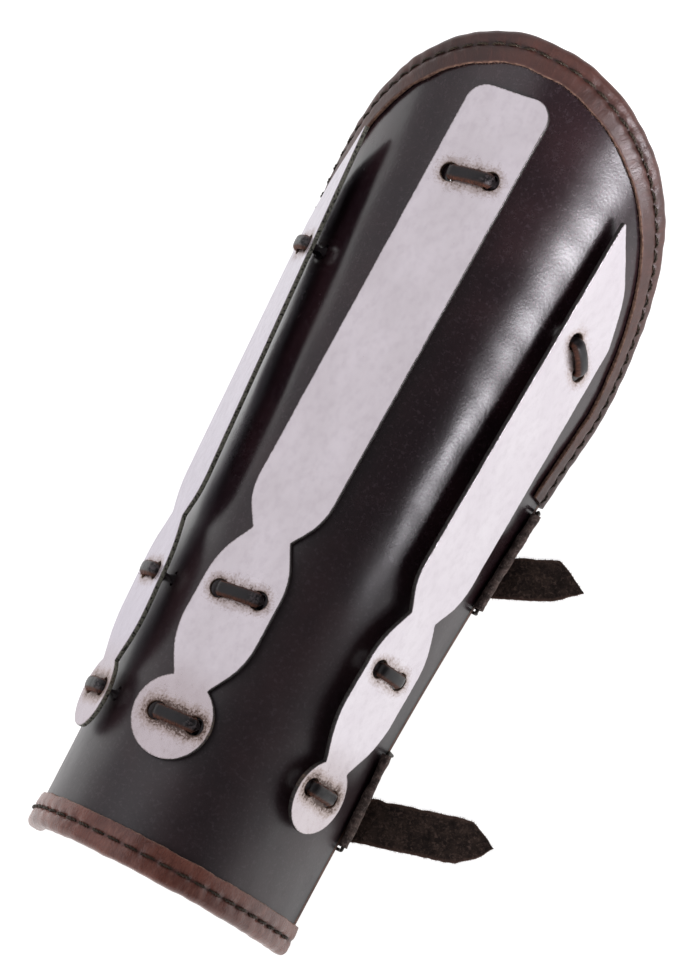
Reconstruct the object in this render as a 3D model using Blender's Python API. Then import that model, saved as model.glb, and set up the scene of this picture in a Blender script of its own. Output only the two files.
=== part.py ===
"""Leather bracer with three laced steel splints, two bound ends and two closing straps.

The bracer lies on its long edges with the middle splint up. The wrist end faces -Y, the arched
elbow end faces +Y and the strap tails point to +X. Units are metres. Every wall point is named
by u, the share of the way round the half section from the top line (0) to a long edge (1 or -1),
by y along the bracer, and by n, the height above the outer face of the leather.
"""
import math

import bmesh
import bpy
import numpy as np
from mathutils import Vector

MM = 0.001
GAP = 0.3 * MM

# Shell
WRIST_Y = -148.5 * MM
ELBOW_Y = 149.2 * MM
SHOULDER_Y = 53.0 * MM  # where the straight long edge on +X turns into the arch
LEFT_SHOULDER_Y = 45.0 * MM
ARCH_POWER = 1.48
LEFT_ARCH_POWER = 1.40
ARCH_ROOT = 0.73
ARCH_APEX = 0.09  # how far from the top line the arch's tip is rounded
HALF_GIRTH_WRIST = 80.6 * MM
HALF_GIRTH_GAIN = 30.5 * MM
GIRTH_POWER = 2.1
ELBOW_SPREAD = 0.10  # how much wider than its curve the elbow end is pulled open
BODY_LENGTH = 300.0 * MM
EDGE_ANGLE = math.radians(78.0)  # turn of the wall from the top line to a long edge
TOP_AT_WRIST = 60.6 * MM
TOP_RISE = 0.0385
SHELL_THICK = 2.2 * MM
LINING_THICK = 1.0 * MM
LINING_MARGIN = 2.6 * MM  # how far the lining shows past the shell's long edges
LINING_MARGIN_END_Y = 9.0 * MM
WALL = SHELL_THICK + GAP + LINING_THICK
WALL_COLUMNS = 38
WALL_ROWS = 10

# Bindings: (inward from the edge, above the leather) round the folded strip, in millimetres
BINDING_PROFILE = (
    (9.5, 0.4), (9.5, 1.4), (5.0, 1.7), (0.0, 1.6), (-1.4, 0.5), (-1.7, -1.7), (-1.4, -4.0),
    (0.0, -5.2), (8.0, -5.2), (8.0, -4.0), (-0.5, -4.0), (-0.5, 0.4), (4.5, 0.4),
)
ELBOW_BINDING_END_Y = 21.0 * MM
ELBOW_BINDING_STATIONS = 54
WRIST_BINDING_STATIONS = 31

# Splints
SPLINT_THICK = 1.6 * MM
DISC_RADIUS = 14.2 * MM
SIDE_DISC_RADIUS = 12.9 * MM
NECK_HALF = 6.8 * MM
BAR_HALF = 14.2 * MM
HOLE_RADIUS = 3.1 * MM
SHELL_HOLE_RADIUS = 3.1 * MM
# Side outline above the disc: (name, along, half width, skew of the two sides, corner radius), mm
SPLINT_SIDE = (
    ("lobe_low", 25.0, 14.2, 0.0, 34.0),
    ("lobe_high", 54.0, 14.0, 0.8, 36.0),
    ("waist", 66.2, 7.3, 0.4, 0.0),
    ("shoulder", 76.5, 14.2, 0.8, 21.0),
)
# Bar ends: (along, across, corner radius) from the +across side to the -across side, mm
SQUARE_END = ((231.0, 15.4, 7.0), (227.0, -14.6, 7.0))
SLANT_END = ((172.0, 14.2, 12.0), (189.0, 7.0, 30.0), (208.5, -13.2, 0.8))
LEFT_END = ((177.0, 14.2, 12.0), (194.0, 7.0, 30.0), (213.3, -13.2, 0.8))
# Where each splint sits: y of the disc, mm, u at the disc and at the bar's far end, its lean from
# upright and the twist to its far end in degrees, how far the disc and the far end stand off, mm.
# Then its length against the pattern, and the outline of its end and which way that points
SPLINTS = (
    ("middle", -100.4, -0.117, -0.040, -10.0, 0.0, 0.0, 0.0, 1.01, SQUARE_END, 1),
    ("left", -102.5, -0.570, -0.578, -61.5, -9.0, 2.2, 1.0, 0.965, LEFT_END, -1),
    ("right", -100.4, 0.580, 0.540, 64.0, 0.0, 2.5, 1.5, 1.018, SLANT_END, 1),
)
# Lace ties of each splint: (name, along the splint, across it, between its two holes, slant in
# degrees)
TIES = {
    "middle": (
        ("disc", 0.0, 1.3, 14.4, 5.0),
        ("lobe", 44.5, -0.1, 14.4, 9.0),
        ("top", 198.0, 0.2, 14.4, 12.0),
    ),
    "left": (
        ("disc", 1.5, -0.4, 12.4, 0.0),
        ("lobe", 45.0, -0.4, 12.4, 0.0),
        ("top", 168.0, -0.4, 12.4, 0.0),
    ),
    "right": (
        ("disc", 1.5, -0.4, 12.4, 0.0),
        ("lobe", 45.0, -0.4, 12.4, 0.0),
        ("top", 163.6, 1.2, 12.4, -37.0),
    ),
}
LACE_WIDTH = 4.8 * MM
LACE_THICK = 1.9 * MM
LACE_BULGE = 0.8 * MM
LACE_CORNER = 1.5 * MM

# Closures on the +X edge: (name, y of the tab's middle, tab width, how far up the wall the tab's
# roll lies at its wrist end and at its elbow end, y of the strap, strap width, length of the
# tail, turn of the tail towards the elbow in degrees), lengths in millimetres
CLOSURES = (
    ("lower", -92.5, 33.0, 1.2, 6.0, -99.3, 15.4, 47.0, 15.0),
    ("upper", -0.7, 36.6, 2.6, 3.4, -7.5, 14.0, 29.5, 24.0),
)
# Tail tips: (back from the tip, half width on the elbow side, half width on the wrist side), mm
TAIL_TIPS = {
    "lower": ((11.2, 7.7, 7.7), (8.8, 7.4, 6.2), (4.0, 3.9, 3.8), (0.0, 0.2, 0.2)),
    "upper": ((11.7, 7.0, 7.0), (8.6, 6.9, 6.6), (4.6, 2.8, 5.0), (0.0, -3.2, 3.8)),
}
STRAP_THICK = 1.6 * MM
STRAP_LIFT = 3.6 * MM  # rise of the strap over the buckle's inner bar
STRAP_ANCHOR = 22.0 * MM
TAB_THICK = 0.8 * MM
TAB_REACH = 22.0 * MM
BAR_RADIUS = 0.6 * MM
ROLL_RADIUS = 1.5 * MM  # middle of the leather rolled round the buckle's outer bar
ROLL_N = GAP + ROLL_RADIUS + TAB_THICK / 2
BUCKLE_DEPTH = 15.0 * MM
BUCKLE_LIFT = 2.0 * MM  # height of the buckle's inner bar
EDGE_LIFT = 3.6 * MM  # height of the leather's wrist corners

SECTION_STEPS = 400


def smooth_turn(u):
    """Turn of the wall at u; past a long edge the wall runs on straight."""
    return EDGE_ANGLE * math.sin(math.pi / 2 * max(-1.0, min(1.0, u)))


def unit_section():
    """Running (across, drop) of a half section whose length is 1, at even steps of u."""
    step = 1.0 / SECTION_STEPS
    across, drop = [0.0], [0.0]
    for i in range(SECTION_STEPS):
        turn = smooth_turn((i + 0.5) * step)
        across.append(across[-1] + math.cos(turn) * step)
        drop.append(drop[-1] + math.sin(turn) * step)
    return np.array(across), np.array(drop)


ACROSS, DROP = unit_section()
SHARES = np.linspace(0.0, 1.0, SECTION_STEPS + 1)


def body_share(y):
    """How far along the bracer y is, from 0 at the wrist to 1 at the elbow."""
    return max(0.0, (y + BODY_LENGTH / 2) / BODY_LENGTH)


def half_girth(y):
    return HALF_GIRTH_WRIST + HALF_GIRTH_GAIN * body_share(y) ** GIRTH_POWER


def wall_normal(u):
    turn = smooth_turn(u)
    return Vector((math.sin(turn), 0.0, math.cos(turn)))


def wall_point(u, y, n=0.0):
    """The point of the wall at u and y, n above the leather's outer face."""
    girth = half_girth(y)
    side = math.copysign(1.0, u)
    inside = min(abs(u), 1.0)
    past = max(abs(u) - 1.0, 0.0)
    across = float(np.interp(inside, SHARES, ACROSS)) + past * math.cos(EDGE_ANGLE)
    drop = float(np.interp(inside, SHARES, DROP)) + past * math.sin(EDGE_ANGLE)
    across *= 1 + ELBOW_SPREAD * body_share(y) ** 3
    top = TOP_AT_WRIST + TOP_RISE * (y + BODY_LENGTH / 2)
    return Vector((side * across * girth, y, top - drop * girth)) + n * wall_normal(u)


def arch_y(u):
    """Where the leather ends towards the elbow."""
    out = (math.hypot(u, ARCH_APEX) - ARCH_APEX) / (math.hypot(1.0, ARCH_APEX) - ARCH_APEX)
    shoulder, power = (SHOULDER_Y, ARCH_POWER) if u >= 0 else (LEFT_SHOULDER_Y, LEFT_ARCH_POWER)
    rest = max(0.0, 1.0 - out**power)
    return shoulder + (ELBOW_Y - shoulder) * rest**ARCH_ROOT


# ---------------------------------------------------------------- mesh helpers


def material(name, colour, roughness, metallic=0.0):
    found = bpy.data.materials.get(name)
    if found:
        return found
    made = bpy.data.materials.new(name)
    made.use_nodes = True
    shader = made.node_tree.nodes["Principled BSDF"]
    shader.inputs["Base Color"].default_value = (*colour, 1.0)
    shader.inputs["Roughness"].default_value = roughness
    shader.inputs["Metallic"].default_value = metallic
    return made


def new_object(name, points, faces, finish, parent=None, smooth=True):
    """A closed mesh object with its faces turned outwards."""
    mesh = bpy.data.meshes.new(name)
    mesh.from_pydata([tuple(p) for p in points], [], faces)
    shape = bmesh.new()
    shape.from_mesh(mesh)
    bmesh.ops.recalc_face_normals(shape, faces=shape.faces)
    shape.to_mesh(mesh)
    shape.free()
    if smooth:
        mesh.shade_smooth()
        mesh.set_sharp_from_angle(angle=math.radians(35))
    made = bpy.data.objects.new(name, mesh)
    bpy.context.scene.collection.objects.link(made)
    made.parent = parent
    if finish:
        mesh.materials.append(finish)
    return made


def loft(rings, closed_path=False):
    """Points and faces of a solid through rings of the same number of points."""
    size = len(rings[0])
    points = [p for ring in rings for p in ring]
    faces = []
    spans = len(rings) if closed_path else len(rings) - 1
    for i in range(spans):
        a, b = i * size, (i + 1) % len(rings) * size
        for k in range(size):
            m = (k + 1) % size
            faces.append((a + k, a + m, b + m, b + k))
    if not closed_path:
        faces.append(tuple(range(size)))
        faces.append(tuple(reversed(range(len(points) - size, len(points)))))
    return points, faces


def cut(target, cutter):
    hole = target.modifiers.new("cut_" + cutter.name, "BOOLEAN")
    hole.operation = "DIFFERENCE"
    hole.solver = "EXACT"
    hole.object = cutter


def cutter_object(name, points, faces, parent):
    made = new_object(name, points, faces, None, parent, smooth=False)
    made.hide_render = True
    made.display_type = "WIRE"
    return made


def join_parts(parts):
    points, faces = [], []
    for part_points, part_faces in parts:
        start = len(points)
        points.extend(part_points)
        faces.extend(tuple(start + i for i in face) for face in part_faces)
    return points, faces


def round_corner(before, corner, after, radius, steps=5):
    """The points that replace one corner of an outline by an arc."""
    if radius <= 0:
        return [corner]
    b, c, a = Vector(before), Vector(corner), Vector(after)
    to_b, to_a = (b - c).normalized(), (a - c).normalized()
    half = to_b.angle(to_a) / 2
    reach = min(radius / math.tan(half), 0.5 * (b - c).length, 0.5 * (a - c).length)
    radius = reach * math.tan(half)
    centre = c + (to_b + to_a).normalized() * (radius / math.sin(half))
    start, end = c + to_b * reach - centre, c + to_a * reach - centre
    sweep = start.angle(end)
    turned = []
    for i in range(steps + 1):
        w = i / steps
        mix = start * math.sin((1 - w) * sweep) + end * math.sin(w * sweep)
        turned.append(tuple(centre + mix / math.sin(sweep)))
    return turned


# ---------------------------------------------------------------- leather walls


def column_shares():
    """u of the columns, closer together towards the long edges."""
    half = WALL_COLUMNS // 2
    shares = [(i / half + math.sin(math.pi / 2 * i / half)) / 2 for i in range(half + 1)]
    return [-s for s in reversed(shares[1:])] + shares


def wall_layer(outer_n, inner_n, margin):
    """A closed sheet of leather between two heights, with margin past the long edges."""
    shares = column_shares()
    layers = []
    for n in (outer_n, inner_n):
        grid = []
        for row in range(WALL_ROWS + 1):
            v = row / WALL_ROWS
            line = [wall_point(u, WRIST_Y + v * (arch_y(u) - WRIST_Y), n) for u in shares]
            if margin:
                ends = []
                for side in (-1.0, 1.0):
                    y = WRIST_Y + v * (arch_y(side) - WRIST_Y)
                    fade = min(1.0, max(0.0, (LINING_MARGIN_END_Y - y) / (8 * MM)))
                    past = 1.0 + max(0.02 * MM, margin * fade) / half_girth(y)
                    ends.append(wall_point(side * past, y, n))
                line = [ends[0]] + line + [ends[1]]
            grid.append(line)
        layers.append(grid)
    columns, rows = len(layers[0][0]), WALL_ROWS + 1
    points = [p for grid in layers for line in grid for p in line]

    def at(layer, row, column):
        return (layer * rows + row) * columns + column

    faces = []
    for r in range(rows - 1):
        for c in range(columns - 1):
            faces.append((at(0, r, c), at(0, r, c + 1), at(0, r + 1, c + 1), at(0, r + 1, c)))
            faces.append((at(1, r, c), at(1, r + 1, c), at(1, r + 1, c + 1), at(1, r, c + 1)))
        for c in (0, columns - 1):
            faces.append((at(0, r, c), at(0, r + 1, c), at(1, r + 1, c), at(1, r, c)))
    for c in range(columns - 1):
        for r in (0, rows - 1):
            faces.append((at(0, r, c), at(1, r, c), at(1, r, c + 1), at(0, r, c + 1)))
    return points, faces


def elbow_edge():
    """(u, y) along the elbow binding, evenly spaced, from the +X side over the arch to -X."""
    start = ELBOW_BINDING_END_Y
    turns = [math.cos(math.pi / 2 * i / 200) for i in range(200)]
    coarse = [(1.0, start + (SHOULDER_Y - start) * i / 20) for i in range(20)]
    coarse += [(u, arch_y(u)) for u in turns] + [(0.0, ELBOW_Y)]
    coarse += [(-u, arch_y(-u)) for u in reversed(turns)]
    coarse += [(-1.0, start + (LEFT_SHOULDER_Y - start) * i / 20) for i in range(19, -1, -1)]
    flat = np.array([(u * half_girth(y), y) for u, y in coarse])
    runs = np.concatenate(([0.0], np.cumsum(np.linalg.norm(np.diff(flat, axis=0), axis=1))))
    wanted = np.linspace(0.0, runs[-1], ELBOW_BINDING_STATIONS)
    arcs = np.interp(wanted, runs, flat[:, 0])
    heights = np.interp(wanted, runs, flat[:, 1])
    return [(float(a), float(y)) for a, y in zip(arcs, heights)]


def elbow_binding():
    edge = elbow_edge()
    rings = []
    for i, (arc, y) in enumerate(edge):
        before, after = edge[max(i - 1, 0)], edge[min(i + 1, len(edge) - 1)]
        along = Vector((after[0] - before[0], after[1] - before[1])).normalized()
        inward = Vector((-along.y, along.x))
        ring = []
        for v, n in BINDING_PROFILE:
            arc_v = arc + inward.x * v * MM
            y_v = y + inward.y * v * MM
            ring.append(wall_point(arc_v / half_girth(y_v), y_v, n * MM))
        rings.append(ring)
    return loft(rings)


def wrist_binding():
    """The outer fold stops at the shell's edges and the inner fold at the lining's."""
    rings = []
    for i in range(WRIST_BINDING_STATIONS):
        share = 2 * i / (WRIST_BINDING_STATIONS - 1) - 1
        ring = []
        for v, n in BINDING_PROFILE:
            y = WRIST_Y + v * MM
            reach = 1.0 if n > -SHELL_THICK / MM else 1.0 + LINING_MARGIN / half_girth(y)
            ring.append(wall_point(share * reach, y, n * MM))
        rings.append(ring)
    return loft(rings)


# ---------------------------------------------------------------- splints and laces


def splint_outline(stretch, disc_radius, end, hand):
    """Outline of a splint as (across, along) points; hand mirrors it."""
    start = math.asin(NECK_HALF / disc_radius)
    disc = []
    steps = 18
    for i in range(steps + 1):
        turn = start + (2 * math.pi - 2 * start) * i / steps
        disc.append((-math.sin(turn) * disc_radius, math.cos(turn) * disc_radius))
    side = [((half * MM, (along + skew) * MM * stretch), radius * MM)
            for _, along, half, skew, radius in SPLINT_SIDE]
    side += [((across * MM, along * MM * stretch), radius * MM) for along, across, radius in end]
    side += [((-half * MM, (along - skew) * MM * stretch), radius * MM)
             for _, along, half, skew, radius in reversed(SPLINT_SIDE)]
    ring = [disc[-1]] + [corner for corner, _ in side] + [disc[0]]
    outline = list(disc)
    for i, (corner, radius) in enumerate(side):
        outline += round_corner(ring[i], corner, ring[i + 2], radius)
    return [(hand * a, b) for a, b in outline]


class Seat:
    """Where a flat splint lies on the curved wall: its origin and its three directions."""

    def __init__(self, disc_y, disc_u, end_u, lean_deg, twist_deg, foot_lift, head_lift, outline):
        self.length = max(b for _, b in outline)
        self.twist = math.radians(twist_deg) / self.length
        self.lean = math.radians(lean_deg)
        foot = wall_point(disc_u, disc_y * MM, foot_lift * MM)
        head = wall_point(end_u, disc_y * MM + self.length - DISC_RADIUS, head_lift * MM)
        self.along = (head - foot).normalized()
        self.origin = foot
        self.middle_u = (disc_u + end_u) / 2
        self.origin = foot + self.axes(0.0)[1] * max(0.0, self.highest(outline) + GAP)

    def axes(self, along):
        """The across and up directions at a place along the splint."""
        lean = self.lean + self.twist * along
        up = Vector((math.sin(lean), 0.0, math.cos(lean)))
        up = (up - up.dot(self.along) * self.along).normalized()
        return self.along.cross(up), up

    def local(self, point):
        d = point - self.origin
        along = d.dot(self.along)
        across, up = self.axes(along)
        return d.dot(across), along, d.dot(up)

    def world(self, across, along, up):
        side, rise = self.axes(along)
        return self.origin + across * side + along * self.along + up * rise

    def highest(self, outline):
        """How far the leather stands above the splint's plane inside the outline."""
        best = -1.0
        low, high = min(b for _, b in outline), max(b for _, b in outline)
        for i in range(61):
            y = self.origin.y - DISC_RADIUS + (high - low) * i / 60
            for k in range(-30, 31):
                u = self.middle_u + 0.3 * k / 30
                across, along, up = self.local(wall_point(u, y))
                if abs(across) <= BAR_HALF and low <= along <= high:
                    best = max(best, up)
        return best

    def lining_depth(self, across, along, reach):
        """The lowest point of the lining's inner face round a place, below the splint."""
        lowest = 0.0
        for i in range(-24, 25):
            for k in range(-12, 13):
                u = self.middle_u + 0.24 * i / 24
                y = self.world(across, along, 0.0).y + reach * k / 12
                a, b, up = self.local(wall_point(u, y, -WALL))
                if math.hypot(a - across, b - along) <= reach:
                    lowest = min(lowest, up)
        return lowest


def splint_solid(seat, outline):
    bottom = [seat.world(a, b, 0.0) for a, b in outline]
    top = [seat.world(a, b, SPLINT_THICK) for a, b in outline]
    return loft([bottom, top])


def hole_posts(seat, across, along, spacing, slant, radius, low, high, sides):
    """Two round posts through the leather or the steel, one for each end of a lace."""
    parts = []
    for end in (-0.5, 0.5):
        a = across + math.cos(slant) * spacing * end
        b = along + math.sin(slant) * spacing * end
        rings = []
        for up in (low, high):
            rings.append([seat.world(a + radius * math.cos(2 * math.pi * k / sides),
                                     b + radius * math.sin(2 * math.pi * k / sides), up)
                          for k in range(sides)])
        parts.append(loft(rings))
    return parts


def lace_solid(seat, across, along, spacing, slant, depth):
    """A closed lace loop: an arch over the steel, two legs and a plain run inside."""
    reach = spacing / 2
    top = SPLINT_THICK + GAP + LACE_THICK / 2
    low = depth - GAP - LACE_THICK / 2
    path = []
    corners = ((-1, 1, 180), (1, 1, 90), (1, -1, 0), (-1, -1, 270))
    for side, level, start in corners:
        centre_s = side * (reach - LACE_CORNER)
        centre_n = (top - LACE_CORNER) if level > 0 else (low + LACE_CORNER)
        for i in range(4):
            turn = math.radians(start - 30 * i)
            path.append((centre_s + LACE_CORNER * math.cos(turn),
                         centre_n + LACE_CORNER * math.sin(turn)))
        if (side, level) == (-1, 1):
            path += [(reach * w, top) for w in (-0.4, 0.0, 0.4)]
    raised = []
    for s, n in path:
        lift = LACE_BULGE * math.cos(math.pi / 2 * min(1.0, abs(s) / reach)) if n > 0 else 0.0
        raised.append(Vector((s, n + lift)))
    rings = []
    for i, here in enumerate(raised):
        run = (raised[(i + 1) % len(raised)] - raised[i - 1]).normalized()
        out = Vector((-run.y, run.x)) * (LACE_THICK / 2)
        ring = []
        for thick, wide in ((1, -1), (1, 1), (-1, 1), (-1, -1)):
            s, n = here + thick * out
            w = wide * LACE_WIDTH / 2
            ring.append(seat.world(across + s * math.cos(slant) - w * math.sin(slant),
                                   along + s * math.sin(slant) + w * math.cos(slant), n))
        rings.append(ring)
    return loft(rings, closed_path=True)


def add_splint(spec, finishes, root):
    """One splint with its three laces; returns the posts that open the leather under it."""
    name, *place, stretch, end, hand = spec
    disc_radius = DISC_RADIUS if name == "middle" else SIDE_DISC_RADIUS
    outline = splint_outline(stretch, disc_radius, end, hand)
    seat = Seat(*place, outline)
    points, faces = splint_solid(seat, outline)
    splint = new_object("splint_" + name, points, faces, finishes["steel"], root)
    steel_posts, leather_posts = [], []
    for tie, along_mm, across_mm, spacing_mm, slant_deg in TIES[name]:
        along, across = along_mm * MM * stretch, hand * across_mm * MM
        spacing = spacing_mm * MM
        slant = hand * math.radians(slant_deg)
        depth = seat.lining_depth(across, along, spacing / 2 + 3 * MM)
        steel_posts += hole_posts(seat, across, along, spacing, slant, HOLE_RADIUS,
                                  -SPLINT_THICK, 2 * SPLINT_THICK, 14)
        leather_posts += hole_posts(seat, across, along, spacing, slant, SHELL_HOLE_RADIUS,
                                    depth - 4 * MM, -GAP / 2, 10)
        points, faces = lace_solid(seat, across, along, spacing, slant, depth)
        new_object("lace_" + name + "_" + tie, points, faces, finishes["lace"], root)
    posts = cutter_object("holes_" + name, *join_parts(steel_posts), root)
    cut(splint, posts)
    return leather_posts


# ---------------------------------------------------------------- straps, tabs and buckles


def ribbon(stations, thick):
    """A flat strap through stations of (middle, side direction, up, elbow half, wrist half)."""
    rings = []
    for middle, side, up, left, right in stations:
        rings.append([middle + side * left - up * thick / 2, middle + side * left + up * thick / 2,
                      middle - side * right + up * thick / 2,
                      middle - side * right - up * thick / 2])
    return loft(rings)


def strap_solid(spec, floor):
    """A strap: held inside the -X wall, across the open back, over the buckle's inner bar, under
    the tab and out as a pointed tail."""
    name, _, _, _, _, y_mm, width_mm, tail_mm, turn_deg = spec
    y, half = y_mm * MM, width_mm * MM / 2
    stations = []
    n = -WALL - 1.3 * GAP - STRAP_THICK / 2
    girth = half_girth(y)
    for back in (STRAP_ANCHOR, STRAP_ANCHOR / 2, 7 * MM):
        u = -1.0 + back / girth
        slope = (wall_point(u, y + half, n) - wall_point(u, y - half, n)).normalized()
        stations.append((wall_point(u, y, n), slope, -wall_normal(u), half, half))
    side = Vector((0.0, 1.0, 0.0))
    edge = wall_point(1.0, y)
    low, high = floor + STRAP_THICK / 2, floor + STRAP_LIFT + STRAP_THICK / 2
    left = stations[-1][0]
    up = Vector((0.0, 0.0, 1.0))
    lean = Vector((1.0, 0.0, 1.0)).normalized()
    stations.append((Vector((left.x + 2.6 * MM, y, high + 0.9 * MM)), side, lean, half, half))
    inner = edge.x - BUCKLE_DEPTH
    for x, z in ((left.x + 6 * MM, high), (0.0, high), (inner - 4 * MM, high),
                 (inner, high), (inner + 4.5 * MM, (low + high) / 2), (inner + 9 * MM, low)):
        stations.append((Vector((x, y, z)), side, up, half, half))
    bend = Vector((inner + 9 * MM, y, low))
    final = math.radians(turn_deg)
    steps = 4
    here, run = bend.copy(), (edge.x + 3 * MM) - bend.x
    for i in range(1, steps + 1):
        turn = final * i / steps
        here = here + Vector((math.cos(turn), math.sin(turn), 0.0)) * run / steps
        side = Vector((-math.sin(turn), math.cos(turn), 0.0))
        stations.append((here.copy(), side, up, half, half))
    heading = Vector((math.cos(final), math.sin(final), 0.0))
    for back, elbow_half, wrist_half in TAIL_TIPS[name]:
        place = here + heading * (tail_mm - 3.0 - back) * MM
        stations.append((place, side, up, elbow_half * MM, wrist_half * MM))
    return ribbon(stations, STRAP_THICK)


def roll_v(spec, y):
    """How far up the wall the middle of a tab's roll lies at y."""
    _, y_mm, width_mm, wrist_mm, elbow_mm = spec[:5]
    share = (y / MM - y_mm) / width_mm + 0.5
    return (wrist_mm + (elbow_mm - wrist_mm) * share) * MM


def tab_path(roll):
    """(v above the shell's edge, n) along the middle of the tab, from its sewn end to its roll."""
    inside = -WALL - GAP - TAB_THICK / 2
    under = -GAP - TAB_THICK / 2 - 0.7 * MM
    path = [(TAB_REACH, inside), (TAB_REACH / 2, inside), (2 * MM, inside)]
    for turn in (30, 60, 90):
        path.append((under + 1.2 * MM * (1 - math.sin(math.radians(turn))),
                     inside + 1.2 * MM * (1 - math.cos(math.radians(turn)))))
    path.append((under, GAP))
    for turn in range(-60, 151, 30):
        path.append((roll + ROLL_RADIUS * math.sin(math.radians(turn)),
                     ROLL_N + ROLL_RADIUS * math.cos(math.radians(turn))))
    return path


def edge_frame_point(y, v, n):
    """A point v up the +X wall from the shell's edge, or straight below it."""
    edge = wall_point(1.0, y)
    if v > 0:
        return wall_point(1.0 - v / half_girth(y), y, n)
    down = Vector((math.cos(EDGE_ANGLE), 0.0, -math.sin(EDGE_ANGLE)))
    return edge - down * v + n * wall_normal(1.0)


def tab_solid(spec):
    _, y_mm, width_mm = spec[:3]
    rings = []
    for share in (-0.5, -0.17, 0.17, 0.5):
        y = (y_mm + share * width_mm) * MM
        path = tab_path(roll_v(spec, y))
        outer, inner = [], []
        for i, here in enumerate(path):
            before, after = path[max(i - 1, 0)], path[min(i + 1, len(path) - 1)]
            run = Vector((after[0] - before[0], after[1] - before[1])).normalized()
            off = Vector((-run.y, run.x)) * (TAB_THICK / 2)
            outer.append(edge_frame_point(y, here[0] + off.x, here[1] + off.y))
            inner.append(edge_frame_point(y, here[0] - off.x, here[1] - off.y))
        rings.append(outer + inner[::-1])
    return loft(rings)


def buckle_solid(spec, floor):
    """A plain wire frame: one bar in the tab's roll, the other under the strap."""
    _, y_mm, width_mm = spec[:3]
    reach = (width_mm / 2 + 1.2) * MM
    low_v = -GAP - 2 * BAR_RADIUS - 0.4 * MM
    path = []
    for side in (-1, 1):
        y = y_mm * MM + side * reach
        knee = edge_frame_point(y, low_v, BAR_RADIUS)
        row = [edge_frame_point(y, roll_v(spec, y), ROLL_N), knee,
               Vector((knee.x - BUCKLE_DEPTH, y, floor + BUCKLE_LIFT))]
        path += row[::-1] if side < 0 else row
    rings = []
    sides = 6
    count = len(path)
    for i, here in enumerate(path):
        before, after = path[i - 1], path[(i + 1) % count]
        into, out = (here - before).normalized(), (after - here).normalized()
        run = (into + out).normalized()
        bend = max(0.5, run.dot(into))
        flat = into.cross(out).normalized()
        away = run.cross(flat).normalized()
        rings.append([here + (math.cos(2 * math.pi * k / sides) * flat
                              + math.sin(2 * math.pi * k / sides) * away / bend) * BAR_RADIUS
                      for k in range(sides)])
    return loft(rings, closed_path=True)


def notch_box(spec):
    """Clears the lining's margin round a tab and its buckle."""
    _, y_mm, width_mm = spec[:3]
    reach = (width_mm / 2 + 4.0) * MM
    rings = []
    for y in (y_mm * MM - reach, y_mm * MM + reach):
        rings.append([edge_frame_point(y, v, n) for v, n in
                      ((-5 * MM, -8 * MM), (-5 * MM, 4 * MM), (0.0, 4 * MM), (0.0, -8 * MM))])
    return loft(rings)


# ---------------------------------------------------------------- assembly


def clear_scene():
    for old in list(bpy.data.objects):
        bpy.data.objects.remove(old, do_unlink=True)


def settle(root):
    """Moves the whole bracer so that the middle of its lowest plane is the origin."""
    bpy.context.view_layer.update()
    corners = [made.matrix_world @ Vector(v.co) for made in bpy.data.objects
               if made.type == "MESH" and not made.hide_render for v in made.data.vertices]
    low = [min(c[i] for c in corners) for i in range(3)]
    high = [max(c[i] for c in corners) for i in range(3)]
    root.location = (-(low[0] + high[0]) / 2, -(low[1] + high[1]) / 2, -low[2])


def main():
    clear_scene()
    finishes = {
        "shell": material("dark_leather", (0.030, 0.022, 0.022), 0.35),
        "lining": material("lining_leather", (0.115, 0.050, 0.033), 0.75),
        "binding": material("binding_leather", (0.075, 0.032, 0.027), 0.45),
        "steel": material("polished_steel", (0.66, 0.62, 0.65), 0.28, 1.0),
        "lace": material("lace_leather", (0.035, 0.030, 0.031), 0.5),
        "strap": material("strap_leather", (0.018, 0.012, 0.011), 0.9),
        "buckle": material("buckle_steel", (0.45, 0.44, 0.42), 0.4, 1.0),
    }
    root = bpy.data.objects.new("bracer", None)
    bpy.context.scene.collection.objects.link(root)

    shell = new_object("shell", *wall_layer(0.0, -SHELL_THICK, 0.0), finishes["shell"], root)
    lining = new_object("lining", *wall_layer(-SHELL_THICK - GAP, -WALL, LINING_MARGIN),
                        finishes["lining"], root)
    new_object("wrist_binding", *wrist_binding(), finishes["binding"], root)
    new_object("elbow_binding", *elbow_binding(), finishes["binding"], root)

    leather_posts = []
    for spec in SPLINTS:
        leather_posts += add_splint(spec, finishes, root)
    posts = cutter_object("holes_leather", *join_parts(leather_posts), root)
    cut(shell, posts)
    cut(lining, posts)
    notches = cutter_object("notches", *join_parts([notch_box(spec) for spec in CLOSURES]), root)
    cut(lining, notches)

    floor = wall_point(1.0, WRIST_Y).z - EDGE_LIFT
    for spec in CLOSURES:
        name = spec[0]
        new_object("strap_" + name, *strap_solid(spec, floor), finishes["strap"], root)
        new_object("tab_" + name, *tab_solid(spec), finishes["strap"], root)
        new_object("buckle_" + name, *buckle_solid(spec, floor), finishes["buckle"], root)

    settle(root)


main()
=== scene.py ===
"""Looks of the leather bracer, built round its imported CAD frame.

Laid out as a Blender add-on: property groups hold the sizes, one operator makes each piece or
group of like pieces, and a sidebar panel lists the operators. Lengths are metres. A place on the
leather wall is named by u, the share of the way round the half section from the top line (0) to
a long edge (1 or -1), by y along the bracer, and by n, the height above the leather's outer face.
"""
import math

import bmesh
import bpy
import numpy as np
from mathutils import Matrix, Vector


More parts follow.
